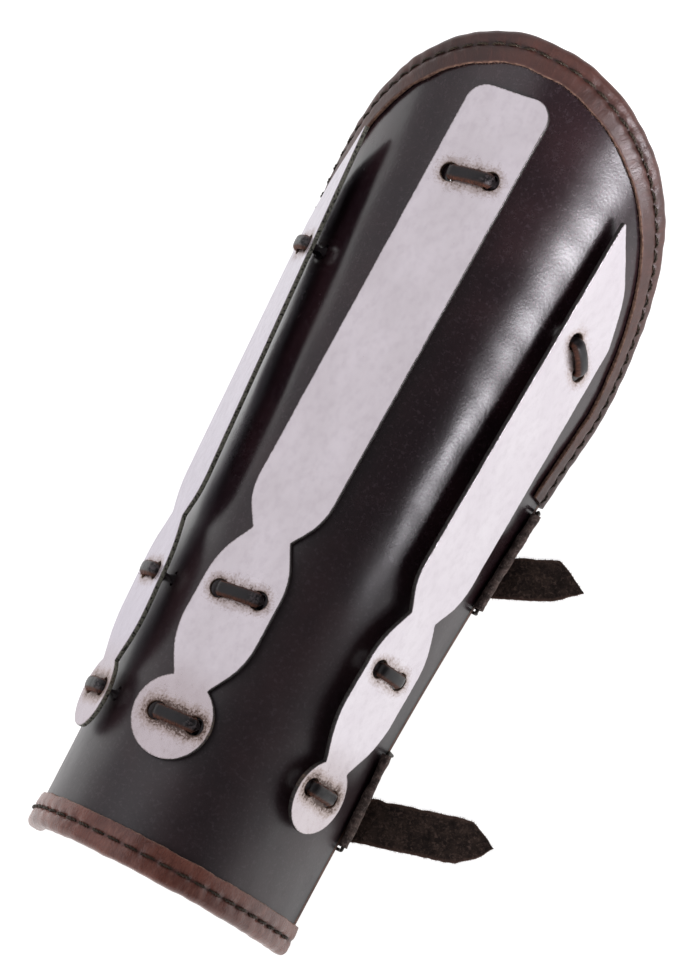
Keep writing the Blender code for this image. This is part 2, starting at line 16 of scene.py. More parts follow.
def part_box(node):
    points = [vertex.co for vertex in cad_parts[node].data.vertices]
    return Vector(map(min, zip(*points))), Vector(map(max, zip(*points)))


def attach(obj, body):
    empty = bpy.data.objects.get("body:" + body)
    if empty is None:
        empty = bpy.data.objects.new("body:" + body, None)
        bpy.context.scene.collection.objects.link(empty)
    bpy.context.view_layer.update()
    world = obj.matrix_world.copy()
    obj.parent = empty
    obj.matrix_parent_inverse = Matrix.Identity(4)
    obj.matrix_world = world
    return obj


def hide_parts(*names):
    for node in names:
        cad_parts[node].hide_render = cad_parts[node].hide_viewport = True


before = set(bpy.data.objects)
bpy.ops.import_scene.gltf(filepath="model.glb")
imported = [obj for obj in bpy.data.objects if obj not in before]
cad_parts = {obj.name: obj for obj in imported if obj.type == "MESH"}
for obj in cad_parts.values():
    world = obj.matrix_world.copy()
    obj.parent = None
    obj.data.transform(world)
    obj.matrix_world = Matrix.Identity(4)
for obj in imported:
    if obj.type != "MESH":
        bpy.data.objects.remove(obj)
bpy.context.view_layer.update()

bl_info = {
    "name": "Leather bracer",
    "version": (1, 0, 0),
    "blender": (4, 5, 0),
    "location": "View3D > Sidebar > Bracer",
    "description": "Makes the leather, steel and lacing of a splinted bracer",
    "category": "Object",
}

MM = 0.001
GAP = 0.3 * MM

# ---------------------------------------------------------------- sizes of the pattern

WRIST_Y = -148.5 * MM
ELBOW_Y = 149.2 * MM
SHOULDER_Y = 53.0 * MM
LEFT_SHOULDER_Y = 45.0 * MM
ARCH_POWER = 1.48
LEFT_ARCH_POWER = 1.40
ARCH_ROOT = 0.73
ARCH_APEX = 0.09
HALF_GIRTH_WRIST = 80.6 * MM
HALF_GIRTH_GAIN = 30.5 * MM
GIRTH_POWER = 2.1
ELBOW_SPREAD = 0.10
BODY_LENGTH = 300.0 * MM
EDGE_ANGLE = math.radians(78.0)
TOP_AT_WRIST = 60.6 * MM
TOP_RISE = 0.0385
SHELL_THICK = 2.2 * MM
LINING_THICK = 1.0 * MM
LINING_MARGIN = 2.6 * MM
LINING_MARGIN_END_Y = 9.0 * MM
WALL = SHELL_THICK + GAP + LINING_THICK
# Columns and rows of the two sheets
SHELL_GRID = (131, 171)
LINING_GRID = (61, 261)

# Folded binding strip: (inward from the edge, above the leather, corner radius), in millimetres
BINDING_FOLD = (
    (9.5, 0.12, 0.25), (9.5, 1.4, 0.45), (5.0, 1.7, 6.0), (0.0, 1.6, 2.2), (-1.5, 0.4, 2.0),
    (-1.75, -1.7, 3.0), (-1.4, -4.1, 1.6), (0.0, -5.2, 1.2), (8.0, -5.2, 0.4), (8.0, -4.0, 0.3),
    (-0.5, -4.0, 0.2), (-0.5, 0.12, 0.2),
)
ELBOW_BINDING_END_Y = 21.0 * MM
# How far in from the edge the strip's cut edge lies, and how high its seam's holes lie
BINDING_REACH = 9.3 * MM
SEAM_N = 1.24 * MM
WRIST_STATIONS = 300
ELBOW_STATIONS = 640

SPLINT_THICK = 1.6 * MM
DISC_RADIUS = 14.2 * MM
SIDE_DISC_RADIUS = 12.9 * MM
NECK_HALF = 6.8 * MM
BAR_HALF = 14.2 * MM
HOLE_RADIUS = 3.1 * MM
OUTLINE_STEP = 0.7 * MM
# Side outline above the disc: (name, along, half width, skew of the two sides, corner radius), mm
SPLINT_SIDE = (
    ("lobe_low", 25.0, 14.2, 0.0, 34.0),
    ("lobe_high", 54.0, 14.0, 0.8, 36.0),
    ("waist", 66.2, 7.3, 0.4, 0.0),
    ("shoulder", 76.5, 14.2, 0.8, 21.0),
)
# Bar ends: (along, across, corner radius) from the +across side to the -across side, mm
SQUARE_END = ((231.0, 15.4, 7.0), (227.0, -14.6, 7.0))
SLANT_END = ((172.0, 14.2, 12.0), (189.0, 7.0, 30.0), (208.5, -13.2, 0.8))
LEFT_END = ((177.0, 14.2, 12.0), (194.0, 7.0, 30.0), (213.3, -13.2, 0.8))
# Where each splint sits: y of the disc, mm, u at the disc and at the bar's far end, its lean and
# its twist in degrees, how far the disc and the far end stand off, mm, then its length as a share
# of the outline's, the outline of its end and which way that points
SPLINTS = {
    "middle": (-100.4, -0.117, -0.040, -10.0, 0.0, 0.0, 0.0, 1.01, SQUARE_END, 1),
    "left": (-102.5, -0.570, -0.578, -61.5, -9.0, 2.2, 1.0, 0.965, LEFT_END, -1),
    "right": (-100.4, 0.580, 0.540, 64.0, 0.0, 2.5, 1.5, 1.018, SLANT_END, 1),
}
# Lace ties of each splint: (name, along the splint, across it, between its two holes, slant in
# degrees)
TIES = {
    "middle": (("disc", 0.0, 1.3, 14.4, 5.0), ("lobe", 44.5, -0.1, 14.4, 9.0),
               ("top", 198.0, 0.2, 14.4, 12.0)),
    "left": (("disc", 1.5, -0.4, 12.4, 0.0), ("lobe", 45.0, -0.4, 12.4, 0.0),
             ("top", 168.0, -0.4, 12.4, 0.0)),
    "right": (("disc", 1.5, -0.4, 12.4, 0.0), ("lobe", 45.0, -0.4, 12.4, 0.0),
              ("top", 163.6, 1.2, 12.4, -37.0)),
}
# Darker steel, lighter steel and the worn rim of each splint; the steel tones differ between the
# splints as painted light, the left splint's darker and purpler and the right's lighter, standing
# in for what each reflects
STEEL_TONES_WITH_PAINTED_LIGHT = {
    "middle": ("d1cacd", "dbd4d8", "3f3b38"),
    "left": ("b4acb8", "bbb3bf", "8b8a7c"),
    "right": ("d9d2d8", "e0dadf", "3f3b38"),
}
LACE_THICK = 1.9 * MM
LACE_BULGE = 0.8 * MM
LACE_CORNER = 1.5 * MM
LACE_STEP = 0.55 * MM
# The slots in the leather under the laces
SLOT_HALF_THICK = 1.1 * MM
SLOT_HALF_WIDTH = 2.6 * MM
# Section of a lace: (across, thickness, share of raw cut edge), mm, from the underside round
LACE_SECTION = (
    (-2.2, -0.95, 0.6), (0.0, -0.95, 0.0), (2.2, -0.95, 0.6), (2.45, -0.7, 1.0), (2.5, -0.2, 1.0),
    (2.3, 0.3, 0.9), (2.1, 0.62, 0.6), (1.8, 0.88, 0.1), (0.9, 0.98, 0.0), (0.0, 1.0, 0.0),
    (-0.7, 0.97, 0.0), (-1.3, 0.85, 0.15), (-1.75, 0.55, 0.9), (-2.1, 0.2, 1.0),
    (-2.45, -0.2, 1.0), (-2.45, -0.7, 1.0),
)

# Closures: (y of the tab's middle, tab width, how far up the wall the tab's roll lies at its
# wrist end and at its elbow end, y of the strap, strap width, length of the tail, turn of the
# tail towards the elbow in degrees), lengths in millimetres
CLOSURES = {
    "lower": (-92.5, 33.0, 1.2, 6.0, -99.3, 15.4, 47.0, 15.0),
    "upper": (-0.7, 36.6, 2.6, 3.4, -7.5, 14.0, 29.5, 24.0),
}
# Tail tips: (back from the tip, half width on the elbow side, half width on the wrist side), mm
TAIL_TIPS = {
    "lower": ((11.2, 7.7, 7.7), (8.8, 7.4, 6.2), (4.0, 3.9, 3.8), (0.0, 0.2, 0.2)),
    "upper": ((11.7, 7.0, 7.0), (8.6, 6.9, 6.6), (4.6, 2.8, 5.0), (0.0, -3.2, 3.8)),
}
STRAP_THICK = 1.6 * MM
STRAP_LIFT = 3.6 * MM
STRAP_ANCHOR = 22.0 * MM
TAB_THICK = 0.8 * MM
TAB_REACH = 22.0 * MM
TAB_BEND = 1.2 * MM
BAR_RADIUS = 0.6 * MM
ROLL_RADIUS = 1.5 * MM
ROLL_N = GAP + ROLL_RADIUS + TAB_THICK / 2
BUCKLE_DEPTH = 15.0 * MM
BUCKLE_LIFT = 2.0 * MM
EDGE_LIFT = 3.6 * MM


# ---------------------------------------------------------------- shapes in numbers


def arrays(*values):
    return np.broadcast_arrays(*[np.asarray(value, float) for value in values])


def unit(vectors):
    return vectors / np.maximum(np.linalg.norm(vectors, axis=-1, keepdims=True), 1e-12)


def smoothstep(low, high, value):
    t = np.clip((value - low) / (high - low), 0.0, 1.0)
    return t * t * (3 - 2 * t)


def circle(count):
    return np.linspace(0.0, 2 * np.pi, count, endpoint=False)


def arc(centre, radius, degrees):
    return [(centre[0] + radius * math.cos(turn), centre[1] + radius * math.sin(turn))
            for turn in np.radians(degrees)]


def left_of(run):
    """Flat directions a quarter turn anticlockwise from others."""
    return np.stack([-run[:, 1], run[:, 0]], -1)


def runs_along(points):
    """The running length at each point of a line."""
    return np.concatenate(([0.0], np.cumsum(np.linalg.norm(np.diff(points, axis=0), axis=1))))


def between(wanted, runs, values):
    """The rows that values, given at runs, have at the wanted lengths."""
    values = np.asarray(values, float)
    return np.stack([np.interp(wanted, runs, values[:, i]) for i in range(values.shape[1])], -1)


def spaced(points, step, closed=True):
    """The same outline with its points evenly spaced, about step apart."""
    points = np.asarray(points, float)
    loop = np.vstack([points, points[:1]]) if closed else points
    runs = runs_along(loop)
    wanted = np.linspace(0.0, runs[-1], max(2, int(round(runs[-1] / step))) + 1)
    return between(wanted[:-1] if closed else wanted, runs, loop)


def ripple(seed, wave, *coords):
    """A smooth random field from -1 to 1 with a wavelength near wave."""
    rng = np.random.default_rng(seed)
    total = 0.0
    for _ in range(5):
        scale = 2 * np.pi / (wave * rng.uniform(0.55, 1.7))
        heading = rng.normal(size=len(coords))
        heading /= np.linalg.norm(heading)
        phase = sum(h * c for h, c in zip(heading, coords)) * scale
        total = total + np.sin(phase + rng.uniform(0, 2 * np.pi))
    return total / 3.2


def round_corner(before, corner, after, radius, steps):
    """The points that replace one corner of a flat outline by an arc."""
    if radius <= 0:
        return [np.array(corner, float)]
    b, c, a = (np.array(p, float) for p in (before, corner, after))
    to_b, to_a = unit(b - c), unit(a - c)
    half = math.acos(max(-1.0, min(1.0, float(to_b @ to_a)))) / 2
    if math.pi / 2 - half < 0.01:
        return [c]
    reach = min(radius / math.tan(half), 0.48 * np.linalg.norm(b - c),
                0.48 * np.linalg.norm(a - c))
    radius = reach * math.tan(half)
    centre = c + unit(to_b + to_a) * (radius / math.sin(half))
    start, end = c + to_b * reach - centre, c + to_a * reach - centre
    sweep = math.pi - 2 * half
    return [centre + (start * math.sin((1 - w) * sweep) + end * math.sin(w * sweep))
            / math.sin(sweep) for w in np.linspace(0.0, 1.0, steps + 1)]


def outline_normals(points):
    """Unit normals of a closed flat outline that runs anticlockwise, pointing out of it."""
    run = np.roll(points, -1, axis=0) - np.roll(points, 1, axis=0)
    return unit(np.stack([run[:, 1], -run[:, 0]], -1))


def anticlockwise(points):
    x, y = points[:, 0], points[:, 1]
    area = np.sum(x * np.roll(y, -1) - np.roll(x, -1) * y)
    return points if area > 0 else points[::-1]


# ---------------------------------------------------------------- the leather wall


def smooth_turn(u):
    return EDGE_ANGLE * np.sin(np.pi / 2 * np.clip(u, -1.0, 1.0))


def unit_section(steps=2000):
    """Shares, running across and running drop of a half section whose length is 1."""
    turn = smooth_turn((np.arange(steps) + 0.5) / steps)
    across = np.concatenate(([0.0], np.cumsum(np.cos(turn)) / steps))
    drop = np.concatenate(([0.0], np.cumsum(np.sin(turn)) / steps))
    return np.linspace(0.0, 1.0, steps + 1), across, drop


SHARES, ACROSS, DROP = unit_section()


def body_share(y):
    return np.maximum(0.0, (y + BODY_LENGTH / 2) / BODY_LENGTH)


def half_girth(y):
    return HALF_GIRTH_WRIST + HALF_GIRTH_GAIN * body_share(y) ** GIRTH_POWER


def wall_normal(u):
    turn = smooth_turn(np.asarray(u, float))
    return np.stack([np.sin(turn), np.zeros_like(turn), np.cos(turn)], -1)


def pattern_point(u, y, n=0.0):
    """Points of the wall in the pattern's own place; u, y and n may be arrays."""
    u, y, n = arrays(u, y, n)
    girth = half_girth(y)
    inside, past = np.minimum(np.abs(u), 1.0), np.maximum(np.abs(u) - 1.0, 0.0)
    across = np.interp(inside, SHARES, ACROSS) + past * math.cos(EDGE_ANGLE)
    drop = np.interp(inside, SHARES, DROP) + past * math.sin(EDGE_ANGLE)
    across = across * (1 + ELBOW_SPREAD * body_share(y) ** 3)
    top = TOP_AT_WRIST + TOP_RISE * (y + BODY_LENGTH / 2)
    base = np.stack([np.sign(u) * across * girth, y, top - drop * girth], -1)
    return base + n[..., None] * wall_normal(u)


def arch_y(u):
    """Where the leather ends towards the elbow."""
    right = np.asarray(u) >= 0
    out = (np.hypot(u, ARCH_APEX) - ARCH_APEX) / (math.hypot(1.0, ARCH_APEX) - ARCH_APEX)
    shoulder = np.where(right, SHOULDER_Y, LEFT_SHOULDER_Y)
    rest = np.maximum(0.0, 1.0 - out ** np.where(right, ARCH_POWER, LEFT_ARCH_POWER))
    return shoulder + (ELBOW_Y - shoulder) * rest**ARCH_ROOT


def pattern_place():
    """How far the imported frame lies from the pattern."""
    low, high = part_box("shell")
    top = TOP_AT_WRIST + TOP_RISE * (ELBOW_Y + BODY_LENGTH / 2)
    return np.array(((low.x + high.x) / 2, low.y - WRIST_Y, high.z - top))


PLACE = pattern_place()


def wall(u, y, n=0.0):
    return pattern_point(u, y, n) + PLACE


FLOOR = float(wall(1.0, WRIST_Y)[2]) - EDGE_LIFT


# ---------------------------------------------------------------- meshes


def finish_piece(made, finish, slot, *stands_for):
    """Gives a piece its material, its CAD body and the nodes that it stands for; slot is not used.
    """
    if finish:
        made.data.materials.clear()
        made.data.materials.append(finish)
    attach(made, "root")
    if stands_for:
        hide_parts(*stands_for)


def add_object(name, mesh):
    made = bpy.data.objects.new(name, mesh)
    bpy.context.scene.collection.objects.link(made)
    return made


def from_shape(name, shape):
    """A mesh from a bmesh, which it frees."""
    mesh = bpy.data.meshes.new(name)
    shape.to_mesh(mesh)
    shape.free()
    return mesh


def close_band(shape, low, high):
    """Faces between two closed rings of vertices."""
    for i in range(len(low)):
        k = (i + 1) % len(low)
        shape.faces.new((low[i], low[k], high[k], high[i]))


def sheet_ends(size, first):
    """Faces across one end of a sheet whose rings run over its outer face and back inside."""
    columns = size // 2 - 2
    outer = [size - 1, *range(columns + 1)]
    inner = [size - 2, *[size - 3 - i for i in range(columns)], columns + 1]
    return [(first + a, first + b, first + c, first + d)
            for a, b, c, d in zip(outer, inner, inner[1:], outer[1:])]


def lengths_for(lengths, count):
    """Lengths for a UV map, with the one that closes the last span."""
    lengths = np.arange(count + 1) * MM if lengths is None else np.asarray(lengths, float)
    if len(lengths) == count:
        lengths = np.append(lengths, 2 * lengths[-1] - lengths[-2])
    return lengths


def swept(name, rings, around=None, along=None, closed_path=False, sharp=38.0, sheet=False,
          **marks):
    """A closed solid through rings of points. around and along are lengths for its UV map, and
    marks are named point values, one for each ring point."""
    rings = np.asarray(rings, float)
    count, size = rings.shape[:2]
    row, col = np.meshgrid(np.arange(count if closed_path else count - 1), np.arange(size),
                           indexing="ij")
    after, beside = (row + 1) % count, (col + 1) % size
    quads = np.stack([row * size + col, row * size + beside, after * size + beside,
                      after * size + col], -1).reshape(-1, 4)
    around, along = lengths_for(around, size), lengths_for(along, count)
    uv = np.stack([np.stack([around[col + c], along[row + r]], -1)
                   for r, c in ((0, 0), (0, 1), (1, 1), (1, 0))], 2).reshape(-1, 4, 2)
    points = rings.reshape(-1, 3)
    a, b, c, d = (points[quads[:, i]] for i in range(4))
    volume = np.sum(np.cross(b - a, c - a) * a) + np.sum(np.cross(c - a, d - a) * a)
    if volume < 0:
        quads, uv = quads[:, ::-1], uv[:, ::-1]
    faces, uvs = quads.tolist(), uv.reshape(-1, 2)
    if not closed_path:
        last = (count - 1) * size
        if sheet:
            ends = sheet_ends(size, 0) + [face[::-1] for face in sheet_ends(size, last)]
        else:
            ends = [tuple(range(last, last + size)), tuple(range(size))[::-1]]
        faces += ends if volume > 0 else [face[::-1] for face in ends]
        uvs = np.vstack([uvs, np.zeros((sum(len(face) for face in ends), 2))])
    mesh = bpy.data.meshes.new(name)
    mesh.from_pydata(points.tolist(), [], faces)
    mesh.uv_layers.new(name="UVMap").data.foreach_set("uv", uvs.astype(np.float32).ravel())
    for key, values in marks.items():
        values = np.broadcast_to(np.asarray(values, float), (count, size))
        mark_points(mesh, key, "FLOAT", values)
    mesh.shade_smooth()
    mesh.set_sharp_from_angle(angle=math.radians(sharp))
    return add_object(name, mesh)


def mark_points(mesh, key, kind, values):
    """Stores a named value or direction on each point of a mesh."""
    held = mesh.attributes.new(key, kind, "POINT")
    held.data.foreach_set("value" if kind == "FLOAT" else "vector",
                          np.asarray(values).astype(np.float32).ravel())


def cut_posts(made, posts, sides=24):
    """Cuts slots out of a piece; posts are (start, end, half thickness, half width) vectors."""
    shape = bmesh.new()
    c, s = [np.sign(w) * np.abs(w) ** 0.6 for w in (np.cos(circle(sides)), np.sin(circle(sides)))]
    for start, end, thick, wide in posts:
        ring = c[:, None] * thick + s[:, None] * wide
        low, high = [[shape.verts.new(place) for place in end_place + ring]
                     for end_place in (start, end)]
        shape.faces.new(low[::-1])
        shape.faces.new(high)
        close_band(shape, low, high)
    bmesh.ops.recalc_face_normals(shape, faces=shape.faces)
    cutter = add_object("posts", from_shape("posts", shape))
    step = made.modifiers.new("holes", "BOOLEAN")
    step.operation, step.solver, step.object = "DIFFERENCE", "MANIFOLD", cutter
    bake(made)
    bpy.data.objects.remove(cutter)


def bake(made):
    """Turns an object with modifiers into a plain mesh."""
    graph = bpy.context.evaluated_depsgraph_get()
    mesh = bpy.data.meshes.new_from_object(made.evaluated_get(graph))
    made.modifiers.clear()
    made.data = mesh


# ---------------------------------------------------------------- geometry nodes


class Graph:
    """Short ways to add nodes to a node tree and to join them."""

    def __init__(self, tree):
        self.tree, self.nodes = tree, tree.nodes

    def put(self, socket, value):
        """Feeds a socket from another one, or sets it; a colour may be a six digit code."""
        if isinstance(value, bpy.types.NodeSocket):
            self.tree.links.new(value, socket)
        elif socket.type == "RGBA" and isinstance(value, str):
            socket.default_value = colour(value)
        else:
            socket.default_value = value

    def node(self, kind, settings=None, feeds=(), **inputs):
        """A node with its inputs set: feeds by their order, the others by name."""
        made = self.nodes.new(kind)
        for key, value in (settings or {}).items():
            setattr(made, key, value)
        for socket, value in zip(made.inputs, feeds):
            self.put(socket, value)
        for key, value in inputs.items():
            self.put(made.inputs[key.replace("_", " ")], value)
        return made

    def axis(self, source, letter):
        return self.node("ShaderNodeSeparateXYZ", Vector=source).outputs[letter]

    def math(self, operation, first, *others):
        """The operation on the first two values, then on its result and each further value."""
        for other in others or (0.0,):
            made = self.node("ShaderNodeMath", {"operation": operation}, (first, other))
            first = made.outputs[0]
        return first

    def times(self, a, b):
        return self.math("MULTIPLY", a, b)

    def add(self, *values):
        return self.math("ADD", *values)


class PieceTree(Graph):
    """A Geometry Nodes tree with named inputs that ends in a plain mesh of one material."""

    def __init__(self, name, *sockets):
        super().__init__(bpy.data.node_groups.new(name, "GeometryNodeTree"))
        for label, kind in (*sockets, ("Material", "Material")):
            self.tree.interface.new_socket(name=label, in_out="INPUT",
                                           socket_type="NodeSocket" + kind)
        self.tree.interface.new_socket(name="Result", in_out="OUTPUT",
                                       socket_type="NodeSocketGeometry")
        self.start = self.node("NodeGroupInput").outputs

    def done(self, shape):
        real = self.node("GeometryNodeRealizeInstances", feeds=[shape]).outputs[0]
        paint = self.node("GeometryNodeSetMaterial", Geometry=real,
                          Material=self.start["Material"])
        self.node("NodeGroupOutput", feeds=[paint.outputs[0]])
        return self.tree


def repeat_tree():
    """Instances one small shape on points that carry a direction, a normal and a size."""
    if "Repeat on points" in bpy.data.node_groups:
        return bpy.data.node_groups["Repeat on points"]
    t = PieceTree("Repeat on points", ("Points", "Geometry"), ("Shape", "Object"),
                  ("Tilt", "Float"), ("Size spread", "Float"), ("Seed", "Int"))
    tilt, spread, seed = t.start["Tilt"], t.start["Size spread"], t.start["Seed"]
    direction, normal, size = [
        t.node("GeometryNodeInputNamedAttribute", {"data_type": kind}, Name=key).outputs[0]
        for key, kind in (("direction", "FLOAT_VECTOR"), ("normal", "FLOAT_VECTOR"),
                          ("size", "FLOAT"))]
    aim = t.node("FunctionNodeAxesToRotation", {"primary_axis": "X", "secondary_axis": "Z"},
                 (direction, normal))
    lean = t.node("FunctionNodeRandomValue", {"data_type": "FLOAT_VECTOR"},
                  (t.times(tilt, -1.0), tilt), Seed=seed)
    euler = t.node("FunctionNodeEulerToRotation", feeds=[lean.outputs[0]])
    turn = t.node("FunctionNodeRotateRotation", {"rotation_space": "LOCAL"},
                  (aim.outputs[0], euler.outputs[0]))
    share = t.node("FunctionNodeRandomValue", {"data_type": "FLOAT"}, Seed=seed)
    t.put(share.inputs[2], t.math("SUBTRACT", 1.0, spread))
    t.put(share.inputs[3], t.add(1.0, spread))
    shape = t.node("GeometryNodeObjectInfo", Object=t.start["Shape"]).outputs["Geometry"]
    placed = t.node("GeometryNodeInstanceOnPoints", Points=t.start["Points"], Instance=shape,
                    Rotation=turn.outputs[0], Scale=t.times(size, share.outputs[1]))
    return t.done(placed.outputs[0])


def wire_tree():
    """A round wire along a closed line, with its corners rounded."""
    if "Wire along a line" in bpy.data.node_groups:
        return bpy.data.node_groups["Wire along a line"]
    t = PieceTree("Wire along a line", ("Line", "Geometry"), ("Wire radius", "Float"),
                  ("Corner radius", "Float"))
    line = t.node("GeometryNodeMeshToCurve", feeds=[t.start["Line"]])
    fillet = t.node("GeometryNodeFilletCurve", {"mode": "POLY"}, Curve=line.outputs[0], Count=8,
                    Radius=t.start["Corner radius"])
    ring = t.node("GeometryNodeCurvePrimitiveCircle", Resolution=14,
                  Radius=t.start["Wire radius"])
    tube = t.node("GeometryNodeCurveToMesh", Curve=fillet.outputs[0],
                  Profile_Curve=ring.outputs[0])
    smooth = t.node("GeometryNodeSetShadeSmooth", Geometry=tube.outputs[0])
    return t.done(smooth.outputs[0])


def run_tree(made, tree, **values):
    """Runs a tree on an object with its named inputs set, and keeps the plain mesh."""
    step = made.modifiers.new(tree.name, "NODES")
    step.node_group = tree
    wanted = {key.replace("_", " ").capitalize(): value for key, value in values.items()}
    for socket in tree.interface.items_tree:
        if socket.in_out == "INPUT" and socket.name in wanted:
            step[socket.identifier] = wanted[socket.name]
    bake(made)


def repeated(name, shape, roots, directions, normals, size, finish, slot, seed, tilt, spread):
    """One piece from many copies of a small shape, placed by Geometry Nodes."""
    mesh = bpy.data.meshes.new(name)
    mesh.from_pydata(np.asarray(roots, float).tolist(), [], [])
    mark_points(mesh, "direction", "FLOAT_VECTOR", directions)
    mark_points(mesh, "normal", "FLOAT_VECTOR", normals)
    mark_points(mesh, "size", "FLOAT", np.full(len(roots), size))
    made = add_object(name, mesh)
    run_tree(made, repeat_tree(), shape=shape, tilt=tilt, size_spread=spread, seed=seed,
             material=finish)
    bpy.data.objects.remove(shape)
    finish_piece(made, None, slot)


def tube_rings(path, radii, sides, offset=None):
    """Rings round a path that runs mostly along X; offset turns a strand round the path."""
    run = unit(np.gradient(path, axis=0))
    side = unit(np.cross(np.broadcast_to((0.0, 0.0, 1.0), run.shape), run))
    up = np.cross(run, side)
    if offset is not None:
        path = path + offset[:, :1] * side + offset[:, 1:] * up
    c, s = np.cos(circle(sides)), np.sin(circle(sides))
    ring = c[None, :, None] * side[:, None] + s[None, :, None] * up[:, None]
    return path[:, None] + ring * radii[:, None, None]


def thread_shape(length, radius):
    """One sewn stitch: two plies twisted together, its ends sunk into the holes."""
    x = np.linspace(-0.5, 0.5, 19)
    path = np.stack([x * length, 0 * x, radius * (1.3 - 9.5 * x**2 - 30 * x**6)], -1)
    radii = radius * 0.62 * (1 - 0.35 * smoothstep(0.38, 0.5, np.abs(x)))
    parts = []
    for ply in (0.0, math.pi):
        turn = 2 * np.pi * x * length / (5.5 * radius) + ply
        offset = 0.5 * radius * np.stack([np.cos(turn), np.sin(turn)], -1)
        parts.append(swept("ply", tube_rings(path, radii, 7, offset)))
    return joined("stitch", parts)


def fibre_shape():
    """One thin curled fibre, 1 mm long, along X."""
    x = np.linspace(0.0, 1.0, 5)
    path = np.stack([x, 0.16 * np.sin(2.2 * x), 0.20 * x * x], -1) * MM
    return swept("fibre", tube_rings(path, 0.034 * MM * (1 - 0.75 * x), 3))


def joined(name, parts):
    """One object from several meshes."""
    shape = bmesh.new()
    for part in parts:
        shape.from_mesh(part.data)
        bpy.data.objects.remove(part)
    return add_object(name, from_shape(name, shape))


# ---------------------------------------------------------------- materials


def colour(code):
    """Linear colour of a six digit sRGB code."""
    parts = [int(code[i:i + 2], 16) / 255 for i in (0, 2, 4)]
    return tuple(c / 12.92 if c <= 0.04045 else ((c + 0.055) / 1.055) ** 2.4
                 for c in parts) + (1.0,)


class Finish(Graph):
    """A short way to write the node tree of one material."""

    def __init__(self, name):
        self.material = bpy.data.materials.new(name)
        self.material.use_nodes = True
        super().__init__(self.material.node_tree)
        place = self.nodes.new("ShaderNodeTexCoord")
        self.object, self.uv = place.outputs["Object"], place.outputs["UV"]
        self.normal = None

    def stretched(self, source, x, y, z=1.0, shift=(0.0, 0.0, 0.0)):
        return self.node("ShaderNodeMapping", Vector=source, Scale=(x, y, z),
                         Location=shift).outputs[0]

    def noise(self, scale, detail=3.0, roughness=0.55, source=None, distortion=0.0):
        return self.node("ShaderNodeTexNoise", Vector=source or self.object, Scale=scale,
                         Detail=detail, Roughness=roughness, Distortion=distortion).outputs["Fac"]

    def streaks(self, detail, roughness, source, x, y, z=1.0, shift=(0.0, 0.0, 0.0)):
        """Noise with its own scale along each axis."""
        return self.noise(1.0, detail, roughness, self.stretched(source, x, y, z, shift))

    def cells(self, scale, source=None, feature="F1"):
        return self.node("ShaderNodeTexVoronoi", {"feature": feature},
                         Vector=source or self.object, Scale=scale).outputs["Distance"]

    def mark(self, name):
        return self.node("ShaderNodeAttribute", {"attribute_name": name}).outputs["Fac"]

    def span(self, value, low, high, start=0.0, end=1.0):
        """value from low..high mapped smoothly to start..end."""
        return self.node("ShaderNodeMapRange", {"interpolation_type": "SMOOTHSTEP"},
                         (value, low, high, start, end)).outputs[0]

    def mix(self, share, a, b):
        """a where the share is 0 and b where it is 1."""
        made = self.node("ShaderNodeMix", {"data_type": "RGBA"}, [share])
        for socket, value in zip(made.inputs[6:], (a, b)):
            self.put(socket, value)
        return made.outputs[2]

    def blend(self, value, low, high, a, b):
        """a where value is low and b where it is high."""
        return self.mix(self.span(value, low, high), a, b)

    def painted(self, base, *coats):
        """base under coats, each a share and the colour that it brings."""
        for share, coat in coats:
            base = self.mix(share, base, coat)
        return base

    def bump(self, *reliefs):
        """Adds reliefs on top of one another, each a height and its depth in millimetres."""
        for height, depth in reliefs:
            made = self.node("ShaderNodeBump", Distance=depth * MM, Height=height)
            if self.normal:
                self.put(made.inputs["Normal"], self.normal)
            self.normal = made.outputs[0]

    def done(self, base, roughness, **values):
        values = {"Base Color": base, "Roughness": roughness, **values}
        if self.normal:
            values["Normal"] = self.normal
        shader = self.nodes["Principled BSDF"]
        for key, value in values.items():
            self.put(shader.inputs[key.replace("_", " ")], value)
        return self.material


def shell_finish(options):
    """Dark waxed leather: low pebble grain with fine pale specks painted as sheen, soft waves,
    cloudy patches, duller to the wrist, and raw red-brown along its cut long edges behind a painted
    shadow line."""
    f = Finish("waxed_dark_leather")
    cloud, fine, edge = f.noise(26.0, 4.0, 0.6), f.noise(900.0, 3.0, 0.6), f.mark("edge")
    fibres = f.streaks(4.0, 0.7, f.object, 1600.0, 300.0, 1600.0)
    f.bump((f.noise(34.0, 2.0, 0.5), 0.24), (f.noise(150.0, 2.0, 0.5), 0.012),
           (f.streaks(2.0, 0.5, f.object, 620.0, 90.0, 620.0), 0.007),
           (f.span(f.cells(1.0 / options.grain), 0.05, 0.75, 1.0, 0.0), 0.007),
           (fine, 0.008), (f.noise(1700.0, 2.0, 0.6), 0.009))
    base = f.painted(
        f.blend(cloud, 0.35, 0.7, "23151a", "321d21"),
        (f.span(fine, 0.62, 0.8, 0.0, 0.5), "120a0b"),
        # painted highlight: fine pale specks standing in for the sheen glinting off the grain
        (f.span(fine, 0.28, 0.44, 0.22, 0.0), "574a4f"),
        (f.span(f.noise(700.0, 3.0, 0.7), 0.52, 0.70, 0.0, 0.28), "5b4f55"),
        # painted shadow: a near-black line just inside the raw edge, standing in for the shade at
        # the edge
        (f.span(edge, 0.10, 0.35), "0c0909"),
        (f.span(edge, 0.50, 0.62), f.blend(fibres, 0.35, 0.7, "4a2f28", "86604f")))
    rough = f.add(f.span(cloud, 0.3, 0.7, options.gloss, options.gloss + 0.06),
                  f.span(f.noise(160.0, 7.0, 0.75), 0.50, 0.72, 0.0, 0.06),
                  f.span(f.axis(f.object, "Y"), -0.085, 0.015, 0.18, 0.0),
                  f.span(edge, 0.4, 0.6, 0.0, 0.4))
    return f.done(base, rough, Specular_IOR_Level=0.8)


